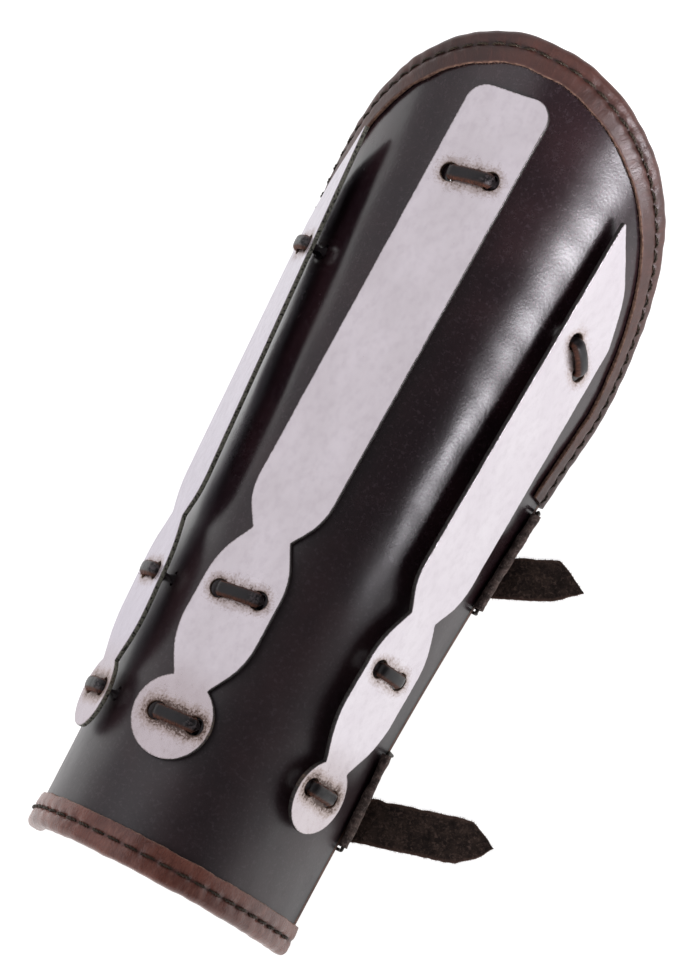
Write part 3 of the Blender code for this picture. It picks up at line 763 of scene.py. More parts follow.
def lining_finish():
    """Bare reddish brown leather, fibrous at its cut edge."""
    f = Finish("bare_lining_leather")
    patch = f.noise(60.0, 5.0, 0.65)
    fibres = f.streaks(4.0, 0.7, f.object, 1400.0, 260.0, 1400.0)
    f.bump((f.noise(900.0, 4.0, 0.7), 0.12), (fibres, 0.10))
    base = f.painted(f.blend(patch, 0.3, 0.7, "54302a", "7c4c3c"),
                     (f.span(fibres, 0.45, 0.75, 0.0, 0.7), "9a6a52"))
    return f.done(base, f.span(patch, 0.3, 0.7, 0.7, 0.9), Specular_IOR_Level=0.3)


def binding_finish(name, dark, light, crease_highlight, gloss):
    """Soft brown leather with creases across the fold, painted highlights on the crease ridges,
    painted shade along the sunk seam and a pale cut edge.
    """
    f = Finish(name)
    raw, crease = f.mark("raw"), f.streaks(5.0, 0.65, f.uv, 170.0, 620.0)
    lines = f.cells(1.0, f.stretched(f.uv, 330.0, 900.0), "DISTANCE_TO_EDGE")
    f.bump((f.noise(190.0, 3.0, 0.5), 0.14), (crease, 0.10), (f.span(lines, 0.0, 0.16), 0.03),
           (f.noise(2600.0, 2.0, 0.6), 0.012))
    base = f.painted(
        f.blend(f.noise(70.0, 4.0, 0.6), 0.3, 0.72, dark, light),
        # painted highlight: the crease ridges are coloured lighter, standing in for light catching
        # them
        (f.span(crease, 0.5, 0.78, 0.0, 0.55), crease_highlight),
        (f.span(lines, 0.0, 0.10, 0.2, 0.0), "2e1a16"),
        # painted shade: the sunk seam's groove is coloured darker, standing in for the shade in it
        (f.times(f.mark("seam"), 0.6), "271713"),
        (raw, f.blend(f.noise(900.0, 3.0, 0.6), 0.35, 0.7, "6b4c3f", "a98570")))
    rough = f.add(f.span(crease, 0.3, 0.75, gloss, gloss + 0.14), f.times(raw, 0.45))
    return f.done(base, rough, Specular_IOR_Level=0.65)


def tie_distance(f, across, along, spacing, slant):
    """How far a place on the steel lies from the line between the two holes of a tie."""
    here = f.node("ShaderNodeVectorMath", {"operation": "SUBTRACT"}, (f.uv, (across, along, 0.0)))
    turned = f.node("ShaderNodeVectorRotate", {"rotation_type": "Z_AXIS"},
                    Vector=here.outputs[0], Angle=-slant).outputs[0]
    beside = f.math("SUBTRACT", f.math("ABSOLUTE", f.axis(turned, "X")), spacing / 2)
    past, off = f.math("MAXIMUM", beside, 0.0), f.axis(turned, "Y")
    return f.math("SQRT", f.add(f.times(past, past), f.times(off, off)))


def steel_finish(name, ties, tone, options):
    """Rolled sheet steel in one splint's tones, which differ between splints as painted light:
    faint lengthwise lines, mottling, fine brown specks hugging the laces, a duller disc, a dirty
    rim and hole walls painted near black as shade. Its UV map holds across and along, in metres."""
    f = Finish(name)
    rim, grime = f.mark("rim"), f.noise(1100.0, 4.0, 0.7)
    cloud, lines = f.streaks(3.0, 0.5, f.uv, 60.0, 28.0), f.streaks(4.0, 0.6, f.uv, 2600.0, 55.0)
    mottle = f.streaks(5.0, 0.65, f.uv, 330.0, 240.0)
    speck = f.streaks(4.0, 0.75, f.uv, 1300.0, 1300.0, shift=(3.0, 7.0, 0.0))
    f.bump((cloud, 0.03), (mottle, 0.003), (lines, 0.004), (speck, 0.002))
    stain = f.math("MAXIMUM", *[f.span(tie_distance(f, *place), 2.4 * MM, 9.0 * MM, 1.0, 0.0)
                                for _, *place in ties])
    disc = f.span(f.axis(f.uv, "Y"), 8 * MM, 22 * MM, 1.0, 0.0)
    spread = f.add(f.times(stain, options.stain), f.times(mottle, 0.9), f.times(speck, 1.7),
                   f.times(disc, 0.22))
    halo, pits, side = f.span(spread, 1.58, 2.24), f.span(spread, 2.15, 2.30), f.span(rim, 0.5, 0.9)
    dark, light, worn = tone
    base = f.painted(
        f.blend(cloud, 0.3, 0.7, dark, light),
        (f.span(mottle, 0.42, 0.72, 0.0, 0.14), "b4a9b0"),
        (f.times(disc, 0.36), "a69592"),
        (f.span(speck, 0.68, 0.82, 0.0, 0.22), "8a7f80"),
        (f.times(f.span(rim, 0.03, 0.12, 0.0, 0.55), f.span(grime, 0.42, 0.56)), "6b5d55"),
        (side, f.blend(grime, 0.40, 0.52, "1d1a17", worn)),
        # painted shade: the hole walls are coloured near black, standing in for the dark inside the
        # holes
        (f.span(rim, 1.1, 1.6), "100d0c"),
        (f.times(halo, 0.5), "9c826c"),
        (f.times(pits, 0.8), "5f4231"))
    rough = f.add(f.span(mottle, 0.35, 0.7, 0.20, 0.27), f.times(halo, 0.2), f.times(side, 0.3))
    dull = f.add(f.times(pits, 0.85), f.times(side, 0.85))
    metal = f.math("MAXIMUM", f.math("SUBTRACT", 1.0, dull), 0.1)
    return f.done(base, rough, Metallic=metal)


def lace_finish():
    """Dark dyed thong, smooth on top, with raw red-brown fibrous edges, mottled tone and roughness,
    a painted highlight near the +across hole and legs painted lighter below the steel.
    """
    f = Finish("dyed_thong")
    raw, deep, scuff = f.mark("raw"), f.mark("deep"), f.noise(900.0, 4.0, 0.65)
    fibres = f.streaks(4.0, 0.7, f.uv, 500.0, 2400.0)
    f.bump((f.noise(420.0, 2.0, 0.5), 0.06), (fibres, 0.05))
    # painted highlight: a pale patch near the +across hole, standing in for the sheen where the
    # thong bends down
    worn = f.times(f.mark("end"), f.span(scuff, 0.45, 0.6))
    base = f.painted(
        f.blend(scuff, 0.4, 0.7, "120e10", "211b1d"), (f.times(worn, 0.6), "6f6668"),
        # painted light: the legs below the steel's top are coloured lighter than the thong, making
        # up for the shade under the steel
        (raw, f.blend(fibres, 0.35, 0.7, "3a2119", "7d4e3a")), (deep, "3c3336"))
    rough = f.add(f.span(scuff, 0.3, 0.7, 0.30, 0.46), f.times(raw, 0.4), f.times(deep, 0.1))
    return f.done(base, rough, Specular_IOR_Level=0.5)


def suede_finish():
    """Split leather with its flesh side out: matt, napped and dark brown."""
    f = Finish("suede_strap_leather")
    nap, clump = f.noise(900.0, 5.0, 0.75, distortion=0.6), f.noise(260.0, 4.0, 0.65)
    f.bump((clump, 0.6), (nap, 0.5))
    base = f.painted(
        f.blend(clump, 0.35, 0.7, "2e2623", "4e4039"),
        (f.span(nap, 0.50, 0.66, 0.0, 0.75), "7c675d"),
        (f.span(nap, 0.30, 0.44, 0.7, 0.0), "0e0a09"), (f.times(f.mark("raw"), 0.6), "7a5f54"))
    return f.done(base, 0.95, Specular_IOR_Level=0.25, Sheen_Weight=0.18, Sheen_Roughness=0.5,
                  Sheen_Tint="a08a7e")


def tab_finish():
    """The tabs' rough dark leather, creased across the roll and paler on the crease ridges, all
    coloured lighter as painted light for the shade the tabs lie in.
    """
    f = Finish("worn_tab_leather")
    nap, crease = f.noise(1000.0, 5.0, 0.75), f.streaks(4.0, 0.6, f.uv, 260.0, 420.0)
    f.bump((crease, 0.7), (nap, 0.4))
    # painted light: these colours are lighter than the leather's own, making up for the shade on
    # the tabs
    base = f.painted(
        f.blend(crease, 0.35, 0.65, "4a3e3a", "7c6a63"),
        (f.span(nap, 0.50, 0.66, 0.0, 0.8), "a8968d"),
        (f.span(nap, 0.30, 0.44, 0.7, 0.0), "0e0a09"))
    return f.done(base, f.span(crease, 0.3, 0.7, 0.7, 0.9), Specular_IOR_Level=0.35,
                  Sheen_Weight=0.15, Sheen_Roughness=0.5, Sheen_Tint="a08a7e")


def thread_finish():
    f = Finish("waxed_thread")
    fuzz = f.noise(2500.0, 3.0, 0.6)
    f.bump((fuzz, 0.06))
    return f.done(f.blend(fuzz, 0.3, 0.7, "241c14", "4d4030"), 0.55, Specular_IOR_Level=0.4)


def fibre_finish(name, dark, light):
    f = Finish(name)
    base = f.blend(f.noise(500.0, 2.0), 0.35, 0.65, dark, light)
    return f.done(base, 0.85, Specular_IOR_Level=0.25)


def wire_finish():
    f = Finish("buckle_wire")
    tarnish = f.noise(420.0, 4.0, 0.6)
    f.bump((tarnish, 0.02))
    return f.done(f.blend(tarnish, 0.45, 0.7, "4c4843", "2b2621"),
                  f.span(tarnish, 0.3, 0.7, 0.5, 0.7), Metallic=1.0)


# ---------------------------------------------------------------- leather walls


def wall_grid(columns, rows):
    """u and y of a grid over the wall, from the wrist to the elbow edge."""
    even = np.linspace(-1.0, 1.0, columns)
    u = (even + np.sin(np.pi / 2 * even)) / 2
    y = WRIST_Y + np.linspace(0.0, 1.0, rows)[:, None] * (arch_y(u)[None] - WRIST_Y)
    return np.broadcast_to(u, y.shape), y


def wall_rings(columns, rows, outer_n, inner_n, margin=None, wave=0.0):
    """Rings round a sheet of the wall, from the wrist to the elbow."""
    u, y = wall_grid(columns, rows)
    if margin is not None:
        share = np.linspace(0.0, 1.0, rows)[:, None]
        left, right = [WRIST_Y + share * (s - WRIST_Y) for s in (LEFT_SHOULDER_Y, SHOULDER_Y)]
        u = np.hstack([-1.0 - margin(left) / half_girth(left), u,
                       1.0 + margin(right) / half_girth(right)])
        y = np.hstack([left, y, right])
    arc = u * half_girth(y)
    calm = 1.0 - smoothstep(0.93, 1.0, np.abs(u))
    dip = -wave * calm * (0.5 + 0.5 * ripple(4, 52 * MM, arc, y))
    dip = dip - wave * 0.35 * calm * (0.5 + 0.5 * ripple(9, 21 * MM, arc, y))
    soft = min(0.3 * MM, (outer_n - inner_n) / 3)
    tucked = np.array(u)
    for column, way in ((-1, 1), (0, -1)):
        tucked[:, column] -= way * soft / half_girth(y[:, column])

    def rim(column, *heights):
        return [wall(u[:, column], y[:, column], n)[:, None] for n in heights]

    return np.concatenate(
        [wall(tucked, y, outer_n + dip), *rim(-1, outer_n - soft, inner_n + soft),
         wall(tucked, y, inner_n)[:, ::-1], *rim(0, inner_n + soft, outer_n - soft)], axis=1)


def edge_marks(columns, rows):
    """For wall_rings: 1 at the long edges of the outer face, falling to 0 a few mm further in."""
    u, y = wall_grid(columns, rows)
    outer = np.clip(1.0 - (1.0 - np.abs(u)) * half_girth(y) / (4.4 * MM), 0.0, 1.0)
    rim = np.ones((rows, 2))
    return np.hstack([outer, rim, 0 * outer, rim])


def margin_fade(y):
    """How far the lining shows past the long edges: not under the elbow binding, nor at a tab."""
    fade = np.clip((LINING_MARGIN_END_Y - y) / (8 * MM), 0.0, 1.0)
    for tab_y, width, *_ in CLOSURES.values():
        away = np.abs(y - tab_y * MM) - (width / 2 + 4.0) * MM
        fade = fade * smoothstep(0.0, 1.2 * MM, away)
    frayed = 1.0 + 0.05 * ripple(12, 9 * MM, y)
    return np.maximum(0.02 * MM, LINING_MARGIN * fade * frayed)


def fold_profile():
    """The folded strip's section as (v, n, outward v, outward n), evenly spaced, in metres."""
    corners = [(v, n) for v, n, _ in BINDING_FOLD]
    rounded = []
    for i, (v, n, radius) in enumerate(BINDING_FOLD):
        rounded += round_corner(corners[i - 1], (v, n), corners[(i + 1) % len(corners)], radius, 5)
    section = anticlockwise(spaced(rounded, 0.42))
    return section * MM, outline_normals(section)


def fold_relief(v, n, s, pitch, seam_v, seed):
    """Height of the strip's outer skin: a sunk seam, pulled in at each awl hole, plump between,
    with soft wrinkles over the fold. v and n name the place in the section, s runs along."""
    off = (v - seam_v) / MM
    hole = np.abs((s / pitch + 0.5) % 1.0 - 0.5) * pitch / MM
    relief = -0.42 * np.exp(-(off / 0.75) ** 2)
    relief = relief - 0.42 * np.exp(-(off / 1.3) ** 2 - (hole / 1.1) ** 2)
    relief = relief - 0.16 * np.exp(-(off / 3.2) ** 2) * np.exp(-(hole / 1.9) ** 2)
    relief = relief + 0.10 * np.exp(-((off - 2.4) / 1.4) ** 2)
    wrinkle = ripple(seed, 7 * MM, s, 0.35 * v) * smoothstep(-2.0, 0.5, -np.abs(off + 4.2) + 3.2)
    lumps = ripple(seed + 1, 12 * MM, s, v)
    top, outer = smoothstep(0.5 * MM, 1.1 * MM, n), smoothstep(-4.2 * MM, -3.0 * MM, n)
    return (top * relief + outer * (0.14 * wrinkle + 0.10 * lumps)) * MM


def fold_rings(place, lengths, pitch, seam_v, seed):
    """Rings of a binding, its lengths around, and its marks of cut edge and seam."""
    section, out = fold_profile()
    v, n = section[None, :, 0], section[None, :, 1]
    s = lengths[:, None]
    relief = fold_relief(v, n, s, pitch, seam_v, seed)
    tip = smoothstep(7.0 * MM, BINDING_REACH, v) * (n > 0)
    ragged = tip * MM * (0.22 * ripple(seed + 2, 17 * MM, s) + 0.08 * ripple(seed + 3, 2.6 * MM, s))
    new_v = v + relief * out[None, :, 0] + ragged
    new_n = np.maximum(n + relief * out[None, :, 1], np.where(n > 0, 0.1 * MM, -9.0))
    raw = smoothstep(BINDING_REACH - 0.25 * MM, BINDING_REACH, v) * (n > 0)
    # The seam mark only places the painted shade along the sunk seam
    seam = np.exp(-((v - seam_v) / (0.55 * MM)) ** 2) * (n > 1.0 * MM)
    return place(s, new_v, new_n), runs_along(section), raw, seam


def elbow_edge(count):
    """(arc from the top line and y), (inward arc and y) and length along the elbow edge, evenly
    spaced."""
    bend = np.cos(np.pi / 2 * np.arange(400) / 400)
    right, left = [np.linspace(ELBOW_BINDING_END_Y, end, 60)[:-1]
                   for end in (SHOULDER_Y, LEFT_SHOULDER_Y)]
    u = np.concatenate([np.ones(59), bend, [0.0], -bend[::-1], -np.ones(59)])
    y = np.concatenate([right, arch_y(bend), [ELBOW_Y], arch_y(-bend[::-1]), left[::-1]])
    flat = spaced(np.stack([u * half_girth(y), y], -1), 0.25 * MM, closed=False)
    runs = runs_along(flat)
    wanted = np.linspace(0.0, runs[-1], count)
    line = between(wanted, runs, flat)
    return line, left_of(unit(np.gradient(line, axis=0))), wanted


def on_wrist(length, v, n):
    """The outer fold stops at the shell's edges and the inner fold at the lining's."""
    y = WRIST_Y + v
    reach = np.where(n > -SHELL_THICK, 1.0, 1.0 + LINING_MARGIN / half_girth(y))
    return wall((length / half_girth(WRIST_Y) - 1.0) * reach, y, n)


def sewn(name, place, lengths, pitch, seam_v, finish, thread_radius, stitch, seed):
    """The stitches of a binding."""
    rest = (np.arange(int(lengths[-1] / pitch)) + 0.5) * pitch
    rest = rest[(rest > 1.5 * MM) & (rest < lengths[-1] - 1.5 * MM)]
    roots = place(rest, seam_v, SEAM_N)
    ahead = (place(rest + 0.5 * MM, seam_v + 0.03 * MM, SEAM_N)
             - place(rest - 0.5 * MM, seam_v, SEAM_N))
    up = place(rest, seam_v, SEAM_N + MM) - roots
    repeated(name, thread_shape(stitch, thread_radius), roots, unit(ahead), unit(up), 1.0, finish,
             "binding_leather", seed, tilt=0.09, spread=0.06)


def make_binding(end, place, lengths, sewing, thread, stitch, seeds, tones):
    """One folded binding and its stitches; place(length, v, n) gives points of the wall."""
    pitch, seam_v = getattr(sewing, end + "_pitch"), getattr(sewing, end + "_seam")
    rings, around, raw, seam = fold_rings(place, lengths, pitch, seam_v, seeds[0])
    strip = swept(end + "_binding_leather", rings, around, lengths, raw=raw, seam=seam)
    finish_piece(strip, binding_finish(end + "_binding_brown", *tones), "binding_leather",
                 end + "_binding")
    sewn(end + "_stitches", place, lengths, pitch, seam_v, thread, sewing.thread, stitch,
         seeds[1])


def fuzz(name, roots, directions, normals, size, finish, slot, seed):
    """Loose fibres as one piece."""
    repeated(name, fibre_shape(), roots, directions, normals, size, finish, slot, seed,
             tilt=0.55, spread=0.45)


def edge_fibre_roots(place, last, count):
    """Roots, directions and normals of loose fibres along the elbow binding's cut edge."""
    rng = np.random.default_rng(8)
    length = rng.uniform(2 * MM, last - 2 * MM, count)
    height = rng.uniform(0.25, 1.25, count) * MM
    edge = place(length, BINDING_REACH, height)
    roots = place(length, BINDING_REACH + 0.22 * MM * ripple(49, 17 * MM, length), height)
    ahead = unit(place(length, BINDING_REACH + MM, height) - edge)
    along = unit(place(length + MM, BINDING_REACH, height) - roots)
    up = unit(place(length, BINDING_REACH, height + MM) - edge)
    lean = rng.normal(size=(count, 1)) * 0.7
    return roots, unit(ahead + lean * along), up


# ---------------------------------------------------------------- splints and laces


def splint_outline(stretch, end, hand, steps=14):
    """The flat outline of a splint: disc, neck, lobe, waist and bar, as (across, along)."""
    disc_radius = DISC_RADIUS if end == SQUARE_END else SIDE_DISC_RADIUS
    start = math.asin(NECK_HALF / disc_radius)
    turns = start + (2 * math.pi - 2 * start) * np.linspace(0.0, 1.0, 8 * steps + 1)
    disc = [np.array((-math.sin(t), math.cos(t))) * disc_radius for t in turns]
    corners = [(along + skew, half, radius) for _, along, half, skew, radius in SPLINT_SIDE]
    corners += end
    corners += [(along - skew, -half, radius)
                for _, along, half, skew, radius in reversed(SPLINT_SIDE)]
    side = [(np.array((across * MM, along * MM * stretch)), radius * MM)
            for along, across, radius in corners]
    ring = [disc[-1], *[corner for corner, _ in side], disc[0]]
    outline = list(disc)
    for i, (corner, radius) in enumerate(side):
        outline += round_corner(ring[i], corner, ring[i + 2], radius, steps)
    return np.array(outline) * (hand, 1.0)


class Seat:
    """Where a flat splint lies on the curved wall: its origin and its three directions."""

    def __init__(self, spec):
        disc_y, disc_u, end_u, lean, twist, foot_lift, head_lift, stretch, end, hand = spec
        outline = splint_outline(stretch, end, hand)
        self.low, self.length = outline[:, 1].min(), outline[:, 1].max()
        self.twist, self.lean = math.radians(twist) / self.length, math.radians(lean)
        self.origin = wall(disc_u, disc_y * MM, foot_lift * MM)
        head = wall(end_u, disc_y * MM + self.length - DISC_RADIUS, head_lift * MM)
        self.forward = unit(head - self.origin)
        self.middle_u = (disc_u + end_u) / 2
        lift = max(0.0, self.highest() + GAP)
        self.origin = self.origin + self.axes(np.array(0.0))[1] * lift

    def axes(self, along):
        """The directions across the splint and away from the wall, at lengths along it."""
        lean = self.lean + self.twist * along
        up = np.stack([np.sin(lean), 0 * lean, np.cos(lean)], -1)
        up = unit(up - (up @ self.forward)[..., None] * self.forward)
        return np.cross(np.broadcast_to(self.forward, up.shape), up), up

    def local(self, points):
        d = points - self.origin
        along = d @ self.forward
        across, up = self.axes(along)
        return np.sum(d * across, -1), along, np.sum(d * up, -1)

    def world(self, across, along, up):
        across, along, up = arrays(across, along, up)
        side, rise = self.axes(along)
        return (self.origin + across[..., None] * side + along[..., None] * self.forward
                + up[..., None] * rise)

    def highest(self):
        """How far the wall rises above the splint's underside."""
        start = self.origin[1] - PLACE[1] - DISC_RADIUS
        y = start + (self.length - self.low) * np.linspace(0, 1, 61)
        u = self.middle_u + 0.3 * np.linspace(-1, 1, 61)
        across, along, up = self.local(wall(u[None], y[:, None]))
        inside = (np.abs(across) <= BAR_HALF) & (along >= self.low) & (along <= self.length)
        return float(up[inside].max())

    def lining_depth(self, across, along, reach):
        """The lowest place of the lining's inner face within reach, as a height."""
        u = self.middle_u + 0.24 * np.linspace(-1, 1, 49)
        y = self.world(across, along, 0.0)[1] - PLACE[1] + reach * np.linspace(-1, 1, 25)
        a, b, up = self.local(wall(u[None], y[:, None], -WALL))
        return float(min(0.0, up[np.hypot(a - across, b - along) <= reach].min()))


def tie_places(name):
    """(tie, across, along, spacing, slant) of a splint's laces, in metres and radians."""
    stretch, _, hand = SPLINTS[name][7:]
    return [(tie, hand * across * MM, along * MM * stretch, spacing * MM,
             hand * math.radians(slant)) for tie, along, across, spacing, slant in TIES[name]]


def laced_ties():
    """Each tie as (splint, tie, seat, place, height of the lining's inner face under it)."""
    for name, spec in SPLINTS.items():
        seat = Seat(spec)
        for tie, across, along, spacing, slant in tie_places(name):
            depth = seat.lining_depth(across, along, spacing / 2 + 3 * MM)
            yield name, tie, seat, (across, along, spacing, slant), depth


def hole_centres(across, along, spacing, slant):
    return [np.array((across + math.cos(slant) * spacing * e,
                      along + math.sin(slant) * spacing * e)) for e in (-0.5, 0.5)]


def lace_axes(seat, along, slant):
    """The directions along and across a lace's outer run, and up."""
    side, up = seat.axes(np.asarray(along))
    c, s = math.cos(slant), math.sin(slant)
    return side * c + seat.forward * s, seat.forward * c - side * s, up


def lace_posts():
    """(start, end, half thickness, half width) of the slots in the leather under the laces."""
    posts = []
    for _, _, seat, place, depth in laced_ties():
        for a, b in hole_centres(*place):
            flow, cross, _ = lace_axes(seat, b, place[3])
            posts.append((seat.world(a, b, depth - 4 * MM), seat.world(a, b, -GAP / 2),
                          flow * SLOT_HALF_THICK, cross * SLOT_HALF_WIDTH))
    return posts


def rim_profile(edge):
    """(inset, height, rim share) from the underside round to the top of sheet steel."""
    t = SPLINT_THICK
    return ((0.9 * MM, 0.0, 0.0), (edge, 0.0, 0.4), (0.3 * edge, 0.3 * edge, 1.0),
            (0.0, edge, 1.0), (0.0, t - 1.2 * edge, 1.0), (0.25 * edge, t - 0.5 * edge, 0.8),
            (0.75 * edge, t - 0.1 * edge, 0.35), (1.35 * edge, t, 0.08),
            (0.35 * MM + 1.6 * edge, t, 0.0))


def splint_loops(outline, holes, seed):
    """(points, way into the steel, how far it bulges, scale of the rim mark) of a splint's
    outline and of its holes."""
    points = anticlockwise(spaced(outline, OUTLINE_STEP))
    runs = np.arange(len(points)) * OUTLINE_STEP
    wear = 0.07 * MM * ripple(seed, 15 * MM, runs) + 0.035 * MM * ripple(seed + 1, 3 * MM, runs)
    loops = [(points, -outline_normals(points), wear, 1)]
    turns = circle(36)
    for centre in holes:
        radius = HOLE_RADIUS * (1 + 0.02 * ripple(seed + int(centre[1] * 1e4), 2.0, turns))
        points = centre + np.stack([np.cos(turns), np.sin(turns)], -1) * radius[:, None]
        # The holes' rim mark of 2 paints their walls near black as shade
        loops.append((points, outline_normals(points), 0.0 * turns, 2))
    return loops


def splint_mesh(name, seat, outline, holes, edge, seed):
    """Sheet steel with softened, slightly uneven edges and round holes."""
    shape = bmesh.new()
    rim_layer = shape.verts.layers.float.new("rim")
    bottoms, tops = [], []
    for points, inward, wear, share in splint_loops(outline, holes, seed):
        rows = []
        for inset, height, rim in rim_profile(edge):
            flat = points + inward * (inset - wear)[:, None]
            rows.append([shape.verts.new((a, b, height)) for a, b in flat])
            for vert in rows[-1]:
                vert[rim_layer] = rim * share
        for low, high in zip(rows, rows[1:]):
            close_band(shape, low, high)
        for border, row in ((bottoms, rows[0]), (tops, rows[-1])):
            border += [shape.edges.get(pair) for pair in zip(row, row[1:] + row[:1])]
    for border in (bottoms, tops):
        bmesh.ops.triangle_fill(shape, use_beauty=True, edges=border)
    # Cuts across and along let the flat sheet follow the splint's twist
    planes = [((0, outline[:, 1].min() + k * 5 * MM, 0), (0, 1, 0)) for k in range(1, 48)]
    planes += [((k * 5.1 * MM + 0.03 * MM, 0, 0), (1, 0, 0)) for k in range(-2, 3)]
    for place, normal in planes:
        bmesh.ops.bisect_plane(shape, geom=shape.verts[:] + shape.edges[:] + shape.faces[:],
                               plane_co=place, plane_no=normal, dist=1e-7)
    bmesh.ops.recalc_face_normals(shape, faces=shape.faces)
    uv_layer = shape.loops.layers.uv.new("UVMap")
    for face in shape.faces:
        face.smooth = True
        for corner in face.loops:
            corner[uv_layer].uv = corner.vert.co.xy
    flat = np.array([vert.co for vert in shape.verts])
    for vert, place in zip(shape.verts, seat.world(*flat.T)):
        vert.co = place
    bmesh.ops.recalc_face_normals(shape, faces=shape.faces)
    mesh = from_shape(name, shape)
    mesh.set_sharp_from_angle(angle=math.radians(50))
    return add_object(name, mesh)


def lace_path(spacing, depth):
    """(s, n) round a lace: an arch over the steel, two legs and a run inside; evenly spaced."""
    reach = spacing / 2
    top = SPLINT_THICK + GAP + LACE_THICK / 2
    low = depth - GAP - LACE_THICK / 2
    path = []
    for side, level, start in ((-1, 1, 180), (1, 1, 90), (1, -1, 0), (-1, -1, 270)):
        centre_s = side * (reach - LACE_CORNER)
        centre_n = (top - LACE_CORNER) if level > 0 else (low + LACE_CORNER)
        path += arc((centre_s, centre_n), LACE_CORNER, start - 15.0 * np.arange(7))
        if (side, level) == (-1, 1):
            path += [(reach * w, top) for w in np.linspace(-0.6, 0.6, 9)]
    path = spaced(path, LACE_STEP)
    lift = LACE_BULGE * np.cos(np.pi / 2 * np.minimum(1.0, np.abs(path[:, 0]) / reach))
    path[:, 1] += np.where(path[:, 1] > 0, lift, 0.0)
    return path


def on_lace(place, s, w):
    """Across and along on the splint of a place s along a lace's outer run and w across it."""
    across, along, _, slant = place
    return (across + s * math.cos(slant) - w * math.sin(slant),
            along + s * math.sin(slant) + w * math.cos(slant))


def lace_rings(seat, place, depth, seed):
    """Rings of one lace, its lengths around, and its marks: raw on the cut edges, end near the
    +across hole, deep below the steel's top face."""
    path = lace_path(place[2], depth)
    out = left_of(unit(np.roll(path, -1, axis=0) - np.roll(path, 1, axis=0)))
    section = np.array(LACE_SECTION)
    w, t, raw = section[:, 0] * MM, section[:, 1] * MM, section[:, 2]
    runs = np.arange(len(path))[:, None] * LACE_STEP
    frayed = 1 + raw * (0.05 * ripple(seed, 3 * MM, runs)
                        + 0.04 * ripple(seed + 1, 1.4 * MM, runs, 4 * w[None]))
    height = t + 0.05 * MM * ripple(seed + 2, 4 * MM, runs, w[None])
    # The legs are narrower between the steel and the leather, where nothing hides them
    gap = max(0.0, -(depth + WALL))
    waist = (path[:, 1:] + max(1.0 * MM, 0.5 * gap)) / max(1.2 * MM, 0.5 * gap)
    slim = 1 - (0.45 + 0.3 * min(1.0, gap / (3 * MM))) * np.exp(-waist ** 2)
    a, b = on_lace(place, path[:, :1] + out[:, :1] * height, w * frayed * slim)
    rings = seat.world(a, b, path[:, 1:] + out[:, 1:] * height)
    end = smoothstep(0.45, 0.85, path[:, :1] / (place[2] / 2)) * (path[:, 1:] > 0)
    deep = 1.0 - smoothstep(0.0, 1.0, path[:, 1:] / SPLINT_THICK)
    return rings, runs_along(section[:, :2] * MM), {"raw": raw, "end": end, "deep": deep}


def lace_fibre_roots(seat, place, depth, count, seed):
    """Roots, directions and normals of the short fibres on a lace's raw edges."""
    path = lace_path(place[2], depth)
    path = path[path[:, 1] > SPLINT_THICK + 0.3 * MM]
    rng = np.random.default_rng(seed)
    pick = rng.integers(0, len(path), count)
    way = rng.choice((-1.0, 1.0), count, p=(0.65, 0.35))
    s, n = path[pick, 0] + rng.normal(size=count) * 0.3 * MM, path[pick, 1]
    n = n + rng.uniform(-0.7, 0.75, count) * MM
    a, b = on_lace(place, s, way * 2.3 * MM)
    lean = rng.normal(size=(count, 2)) * 0.45
    flow, cross, up = lace_axes(seat, b, place[3])
    direction = way[:, None] * cross + lean[:, :1] * flow + lean[:, 1:] * up
    return seat.world(a, b, n), unit(direction), up


# ---------------------------------------------------------------- straps, tabs and buckles


def strap_stations(spec, tips):
    """(middle, side, up, elbow half, wrist half) along a strap: inside the -X wall, across to the
    buckle, down to the floor and out past the +X edge."""
    y_mm, width_mm, tail_mm, turn_deg = spec[4:]
    y, half = y_mm * MM, width_mm * MM / 2
    stations = []
    n = -WALL - 1.3 * GAP - STRAP_THICK / 2
    for back in (STRAP_ANCHOR, STRAP_ANCHOR / 2, 7 * MM):
        u = -1.0 + back / half_girth(y)
        slope = unit(wall(u, y + half, n) - wall(u, y - half, n))
        stations.append((wall(u, y, n), slope, -wall_normal(u), half, half))
    side, up = np.array((0.0, 1.0, 0.0)), np.array((0.0, 0.0, 1.0))
    edge = wall(1.0, y)
    low, high = FLOOR + STRAP_THICK / 2, FLOOR + STRAP_LIFT + STRAP_THICK / 2
    left = stations[-1][0]
    world_y = edge[1]
    lean = unit(np.array((1.0, 0.0, 1.0)))
    bend = np.array((left[0] + 2.6 * MM, world_y, high + 0.9 * MM))
    stations.append((bend, side, lean, half, half))
    inner = edge[0] - BUCKLE_DEPTH
    for x, z in ((left[0] + 6 * MM, high), (PLACE[0], high), (inner - 4 * MM, high),
                 (inner, high), (inner + 4.5 * MM, (low + high) / 2), (inner + 9 * MM, low)):
        stations.append((np.array((x, world_y, z)), side, up, half, half))
    final = math.radians(turn_deg)
    here = np.array((inner + 9 * MM, world_y, low))
    run = edge[0] + 3 * MM - here[0]
    for i in range(1, 5):
        turn = final * i / 4
        here = here + np.array((math.cos(turn), math.sin(turn), 0.0)) * run / 4
        side = np.array((-math.sin(turn), math.cos(turn), 0.0))
        stations.append((here, side, up, half, half))
    heading = np.array((math.cos(final), math.sin(final), 0.0))
    for back, elbow_half, wrist_half in tips:
        place = here + heading * (tail_mm - 3.0 - back) * MM
        stations.append((place, side, up, elbow_half * MM, wrist_half * MM))
    return stations


